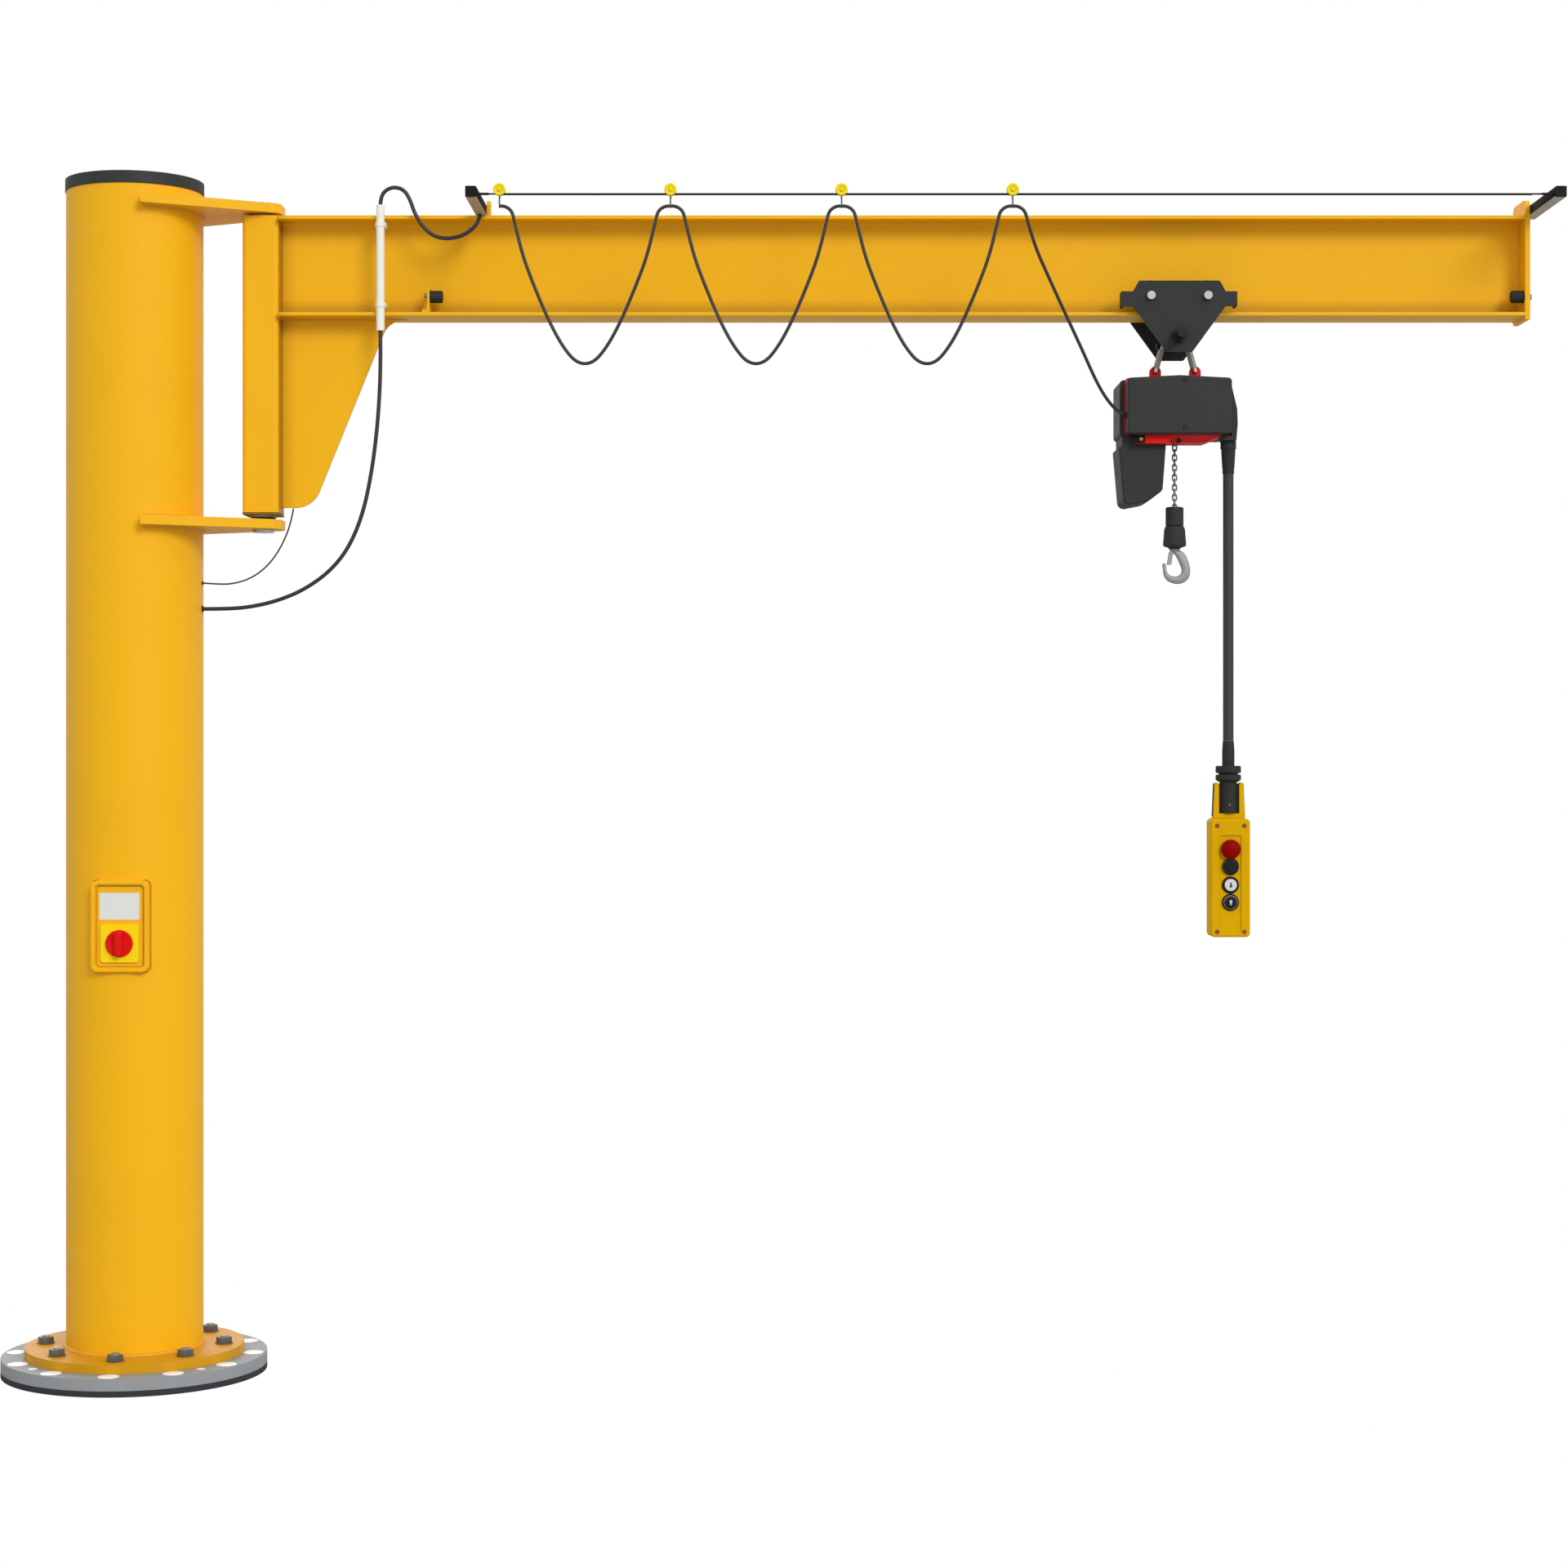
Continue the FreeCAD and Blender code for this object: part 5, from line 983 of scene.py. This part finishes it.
HOOK_ROWS = [
    (0.0042, -0.0075, 0.016, 0.0145), (0.0065, -0.0105, 0.018, 0.016), (0.0134, -0.0155, 0.0245, 0.0185),
    (0.0209, -0.0248, 0.028, 0.02), (0.027, -0.038, 0.028, 0.0215), (0.0318, -0.051, 0.027, 0.022),
    (0.034, -0.064, 0.0265, 0.0225), (0.0315, -0.079, 0.028, 0.0225), (0.0215, -0.0895, 0.027, 0.022),
    (0.0085, -0.0938, 0.024, 0.0215), (-0.004, -0.093, 0.0215, 0.0205), (-0.0155, -0.089, 0.0195, 0.0185),
    (-0.024, -0.081, 0.016, 0.016), (-0.0285, -0.0705, 0.0125, 0.013), (-0.0307, -0.059, 0.011, 0.0115),
    (-0.0314, -0.049, 0.012, 0.0115), (-0.0314, -0.0452, 0.0105, 0.01), (-0.0313, -0.0432, 0.006, 0.006),
]
LATCH_X = CHAIN_X - 0.01
LATCH_DROP = 0.012
INNER_BULGE = 0.14


def smooth_rows(rows, steps):
    """The rows with smooth ones laid between them."""
    last = len(rows) - 1
    laid = []
    for i in range(last):
        before, here, after, beyond = rows[max(i - 1, 0)], rows[i], rows[i + 1], rows[min(i + 2, last)]
        for step in range(steps):
            t = step / steps
            laid.append([q + t * (r - p) / 2 + t * t * (p - 2.5 * q + 2 * r - s / 2)
                         + t ** 3 * (1.5 * q - p / 2 - 1.5 * r + s / 2)
                         for p, q, r, s in zip(before, here, after, beyond)])
    laid.append(list(rows[last]))
    return laid


def hook_forging():
    foot_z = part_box("hook_block")[0].z
    rows = smooth_rows(HOOK_ROWS, 6)
    centres = [Vector((CHAIN_X + x, 0, foot_z + z)) for x, z, width, thickness in rows]
    build = bmesh.new()
    rings = []
    for i, (x, z, width, thickness) in enumerate(rows):
        along = (centres[min(i + 1, len(rows) - 1)] - centres[max(i - 1, 0)]).normalized()
        inward = along.cross(Y_AXIS)
        ring = []
        for a in (2 * math.pi * side / 32 for side in range(32)):
            offset = math.sin(a) * thickness / 2 * (1 - INNER_BULGE * math.cos(a))
            ring.append(build.verts.new(centres[i] + inward * (math.cos(a) * width / 2) + Y_AXIS * offset))
        rings.append(ring)
    bridge(build, rings)
    build.faces.new(rings[0])
    build.faces.new(rings[-1])
    lathe(build, [(0.006, -0.011), (0.0085, -0.0085), (0.01, -0.0065), (0.014, -0.0052), (0.0158, -0.0042),
                  (0.016, -0.0032), (0.0158, -0.0018), (0.0148, -0.001)], (CHAIN_X, 0, foot_z), Z_AXIS, 48)
    boss = Vector((LATCH_X, 0, foot_z - LATCH_DROP))
    lathe(build, [(0.0042, -0.0051), (0.005, -0.0043), (0.005, 0.0043), (0.0042, 0.0051)], boss, Y_AXIS, 32)
    lathe(build, [(0.0018, -0.0092), (0.0034, -0.009), (0.0034, -0.0083), (0.0024, -0.0082),
                  (0.0024, 0.0082), (0.0034, 0.0083), (0.0034, 0.009), (0.0018, 0.0092)], boss, Y_AXIS, 24)
    cheek = [(0, -0.004), (0.012, -0.004), (0.012, 0.004), (0, 0.004)]
    slab(build, cheek, boss - Y_AXIS * 0.0045, 0.009, 0.0012)
    piece = add_piece("hook_forging", build, "hook", "hook_steel", smooth=50)
    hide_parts("hook")


hook_forging()

# Pendant: button caps with their bezels, the case's screws, the strap's filler with its screw, and black
# sheets of painted shade on the strap's sides

CASE_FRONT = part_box("pendant_body")[0].y
STEM_RADIUS = 0.0088
CAP_BACK = 0.0213
ARROW = [(0, 0.0085), (0.0062, 0.0015), (0.0022, 0.0015), (0.0022, -0.0075), (-0.0022, -0.0075),
         (-0.0022, 0.0015), (-0.0062, 0.0015)]


def button_cap(node, body, slot, dome, arrow=0, arrow_material=None):
    """A cap with a rounded rim and a domed or flat face. arrow is +1 for up and -1 for down."""
    low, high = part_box(node)
    radius = half_width(node)
    stem_foot = Vector(((low.x + high.x) / 2, high.y, (low.z + high.z) / 2))
    reach = high.y - low.y
    crown = reach - dome
    outline = [(STEM_RADIUS, 0), (STEM_RADIUS, CAP_BACK), (radius - 0.0012, CAP_BACK),
               (radius, CAP_BACK + 0.001), (radius, crown - 0.0016), (radius - 0.0006, crown - 0.0005),
               (radius - 0.0018, crown)]
    for share in (0.8, 0.6, 0.4, 0.2, 0.03):
        outline.append((radius * share, crown + dome * (1 - share * share)))
    build = bmesh.new()
    lathe(build, outline, stem_foot, -Y_AXIS, 56)
    materials = [slot]
    if arrow:
        materials.append(arrow_material)
        face = stem_foot - Y_AXIS * (reach - 0.0001)
        slab(build, [(x, z * arrow) for x, z in ARROW], face, -0.00025, material=1)
    piece = add_piece(node + "_cap", build, body, slot, *materials, smooth=40)
    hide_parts(node)


def pendant_pieces():
    button_cap("stop_button", "stop_press", "button_red", 0.0095)
    button_cap("lift_button", "lift_press", "button_black", 0.0012)
    button_cap("lower_button", "lower_press", "button_white", 0.0001, -1, "button_black")
    button_cap("travel_button", "travel_press", "button_black", 0.0001, 1, "button_white")
    build = bmesh.new()
    for node in ("lift_button", "lower_button", "travel_button"):
        centre = middle(node)
        inner = half_width(node) + 0.0004
        lathe(build, [(0.0256, -0.0028), (0.0256, -0.0004), (0.0252, 0.00015), (inner, 0.00015),
                      (inner, -0.0028)], (centre.x, CASE_FRONT, centre.z), -Y_AXIS, 64, hollow=True)
    add_piece("button_bezels", build, "hoist", "button_black")
    build = bmesh.new()
    centre = middle("travel_button")
    ring = circle((centre.x, CASE_FRONT - 0.0004, centre.z), 0.0198, 56, other=Z_AXIS)
    tube(build, ring, 0.0013, closed=True)
    add_piece("travel_ring", build, "hoist", "steel_bright", "ring_grey")
    low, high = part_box("pendant_body")
    build = bmesh.new()
    for x in (low.x + 0.02, high.x - 0.018):
        for z in (low.z + 0.016, high.z - 0.021):
            lathe(build, [(0.0072, -0.003), (0.0072, 0.0002), (0.0062, 0.0007), (0.003, 0.0008),
                          (0.0028, 0.0002)], (x, CASE_FRONT, z), -Y_AXIS, 28)
    add_piece("case_screws", build, "hoist", "steel_bright", "case_screw")
    low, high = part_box("pendant_strap")
    build = bmesh.new()
    block(build, (PENDANT_X - 0.0303, PENDANT_Y - 0.01, low.z + 0.0152),
          (PENDANT_X + 0.0303, PENDANT_Y + 0.01, high.z - 0.003), 0.002)
    # Thin black sheets on the strap's two side faces: painted shade
    for side, foot_x, top_x in ((-1, low.x, low.x + 0.004), (1, high.x, high.x - 0.004)):
        outline = [(foot_x, low.z + 0.007), (foot_x + side * 0.0006, low.z + 0.007),
                   (top_x + side * 0.0006, high.z - 0.004), (top_x, high.z - 0.004)]
        slab(build, outline, (0, PENDANT_Y - 0.0165, 0), 0.033)
    add_piece("strap_filler_and_painted_shade", build, "hoist", "rubber_black")
    build = bmesh.new()
    lathe(build, [(0.0042, 0), (0.0042, 0.0008), (0.0032, 0.0012)],
          (PENDANT_X, PENDANT_Y - 0.0258, low.z + 0.04), -Y_AXIS, 24)
    add_piece("plug_screw", build, "hoist", "steel_bright", "wheel_steel")


pendant_pieces()

# Stage, light and world

FLOOR_BOUNCE = (0.42, 0.42, 0.42, 1)
FLOOR_REACH = 40.0
FLOOR_Z = -0.0005
SKY_STRENGTH = 0.8
# Each soft sun is (name, direction from the crane to the light, strength, angle).
SUNS = [("key", (0.45, -0.75, 0.48), 1.4, 0.4), ("back", (-0.3, 0.8, 0.5), 0.6, 0.6)]


def split_rays(tree, lit, seen, output):
    """Show the camera one shader, and give every other ray another."""
    rays = add_node(tree.nodes, "LightPath")
    choice = add_node(tree.nodes, "MixShader")
    tree.links.new(rays.outputs["Is Camera Ray"], choice.inputs["Fac"])
    tree.links.new(lit, choice.inputs[1])
    tree.links.new(seen, choice.inputs[2])
    tree.links.new(choice.outputs["Shader"], output.inputs["Surface"])


def stage_floor():
    corners = [(u * FLOOR_REACH, v * FLOOR_REACH, FLOOR_Z) for u, v in ((-1, -1), (1, -1), (1, 1), (-1, 1))]
    mesh = bpy.data.meshes.new("floor")
    mesh.from_pydata(corners, [], [(0, 1, 2, 3)])
    floor = bpy.data.objects.new("floor", mesh)
    scene.collection.objects.link(floor)
    material = bpy.data.materials.new("floor")
    material.use_nodes = True
    nodes = material.node_tree.nodes
    principled = set_inputs(nodes["Principled BSDF"], Base_Color=FLOOR_BOUNCE, Roughness=0.9,
                            Specular_IOR_Level=0.1)
    white = add_node(nodes, "Emission", Color=WHITE)
    split_rays(material.node_tree, principled.outputs["BSDF"], white.outputs["Emission"],
               nodes["Material Output"])
    mesh.materials.append(material)


def world_light():
    world = bpy.data.worlds.new("studio")
    scene.world = world
    world.use_nodes = True
    nodes = world.node_tree.nodes
    soft = set_inputs(nodes["Background"], Color=WHITE, Strength=SKY_STRENGTH)
    shown = add_node(nodes, "Background", Color=WHITE, Strength=1.0)
    split_rays(world.node_tree, soft.outputs["Background"], shown.outputs["Background"],
               nodes["World Output"])


stage_floor()
world_light()
for name, towards, strength, angle in SUNS:
    data = bpy.data.lights.new(name, "SUN")
    data.energy = strength
    data.angle = angle
    light = bpy.data.objects.new(name, data)
    light.rotation_euler = Vector(towards).to_track_quat("Z", "Y").to_euler()
    scene.collection.objects.link(light)

scene.view_settings.view_transform = "Standard"
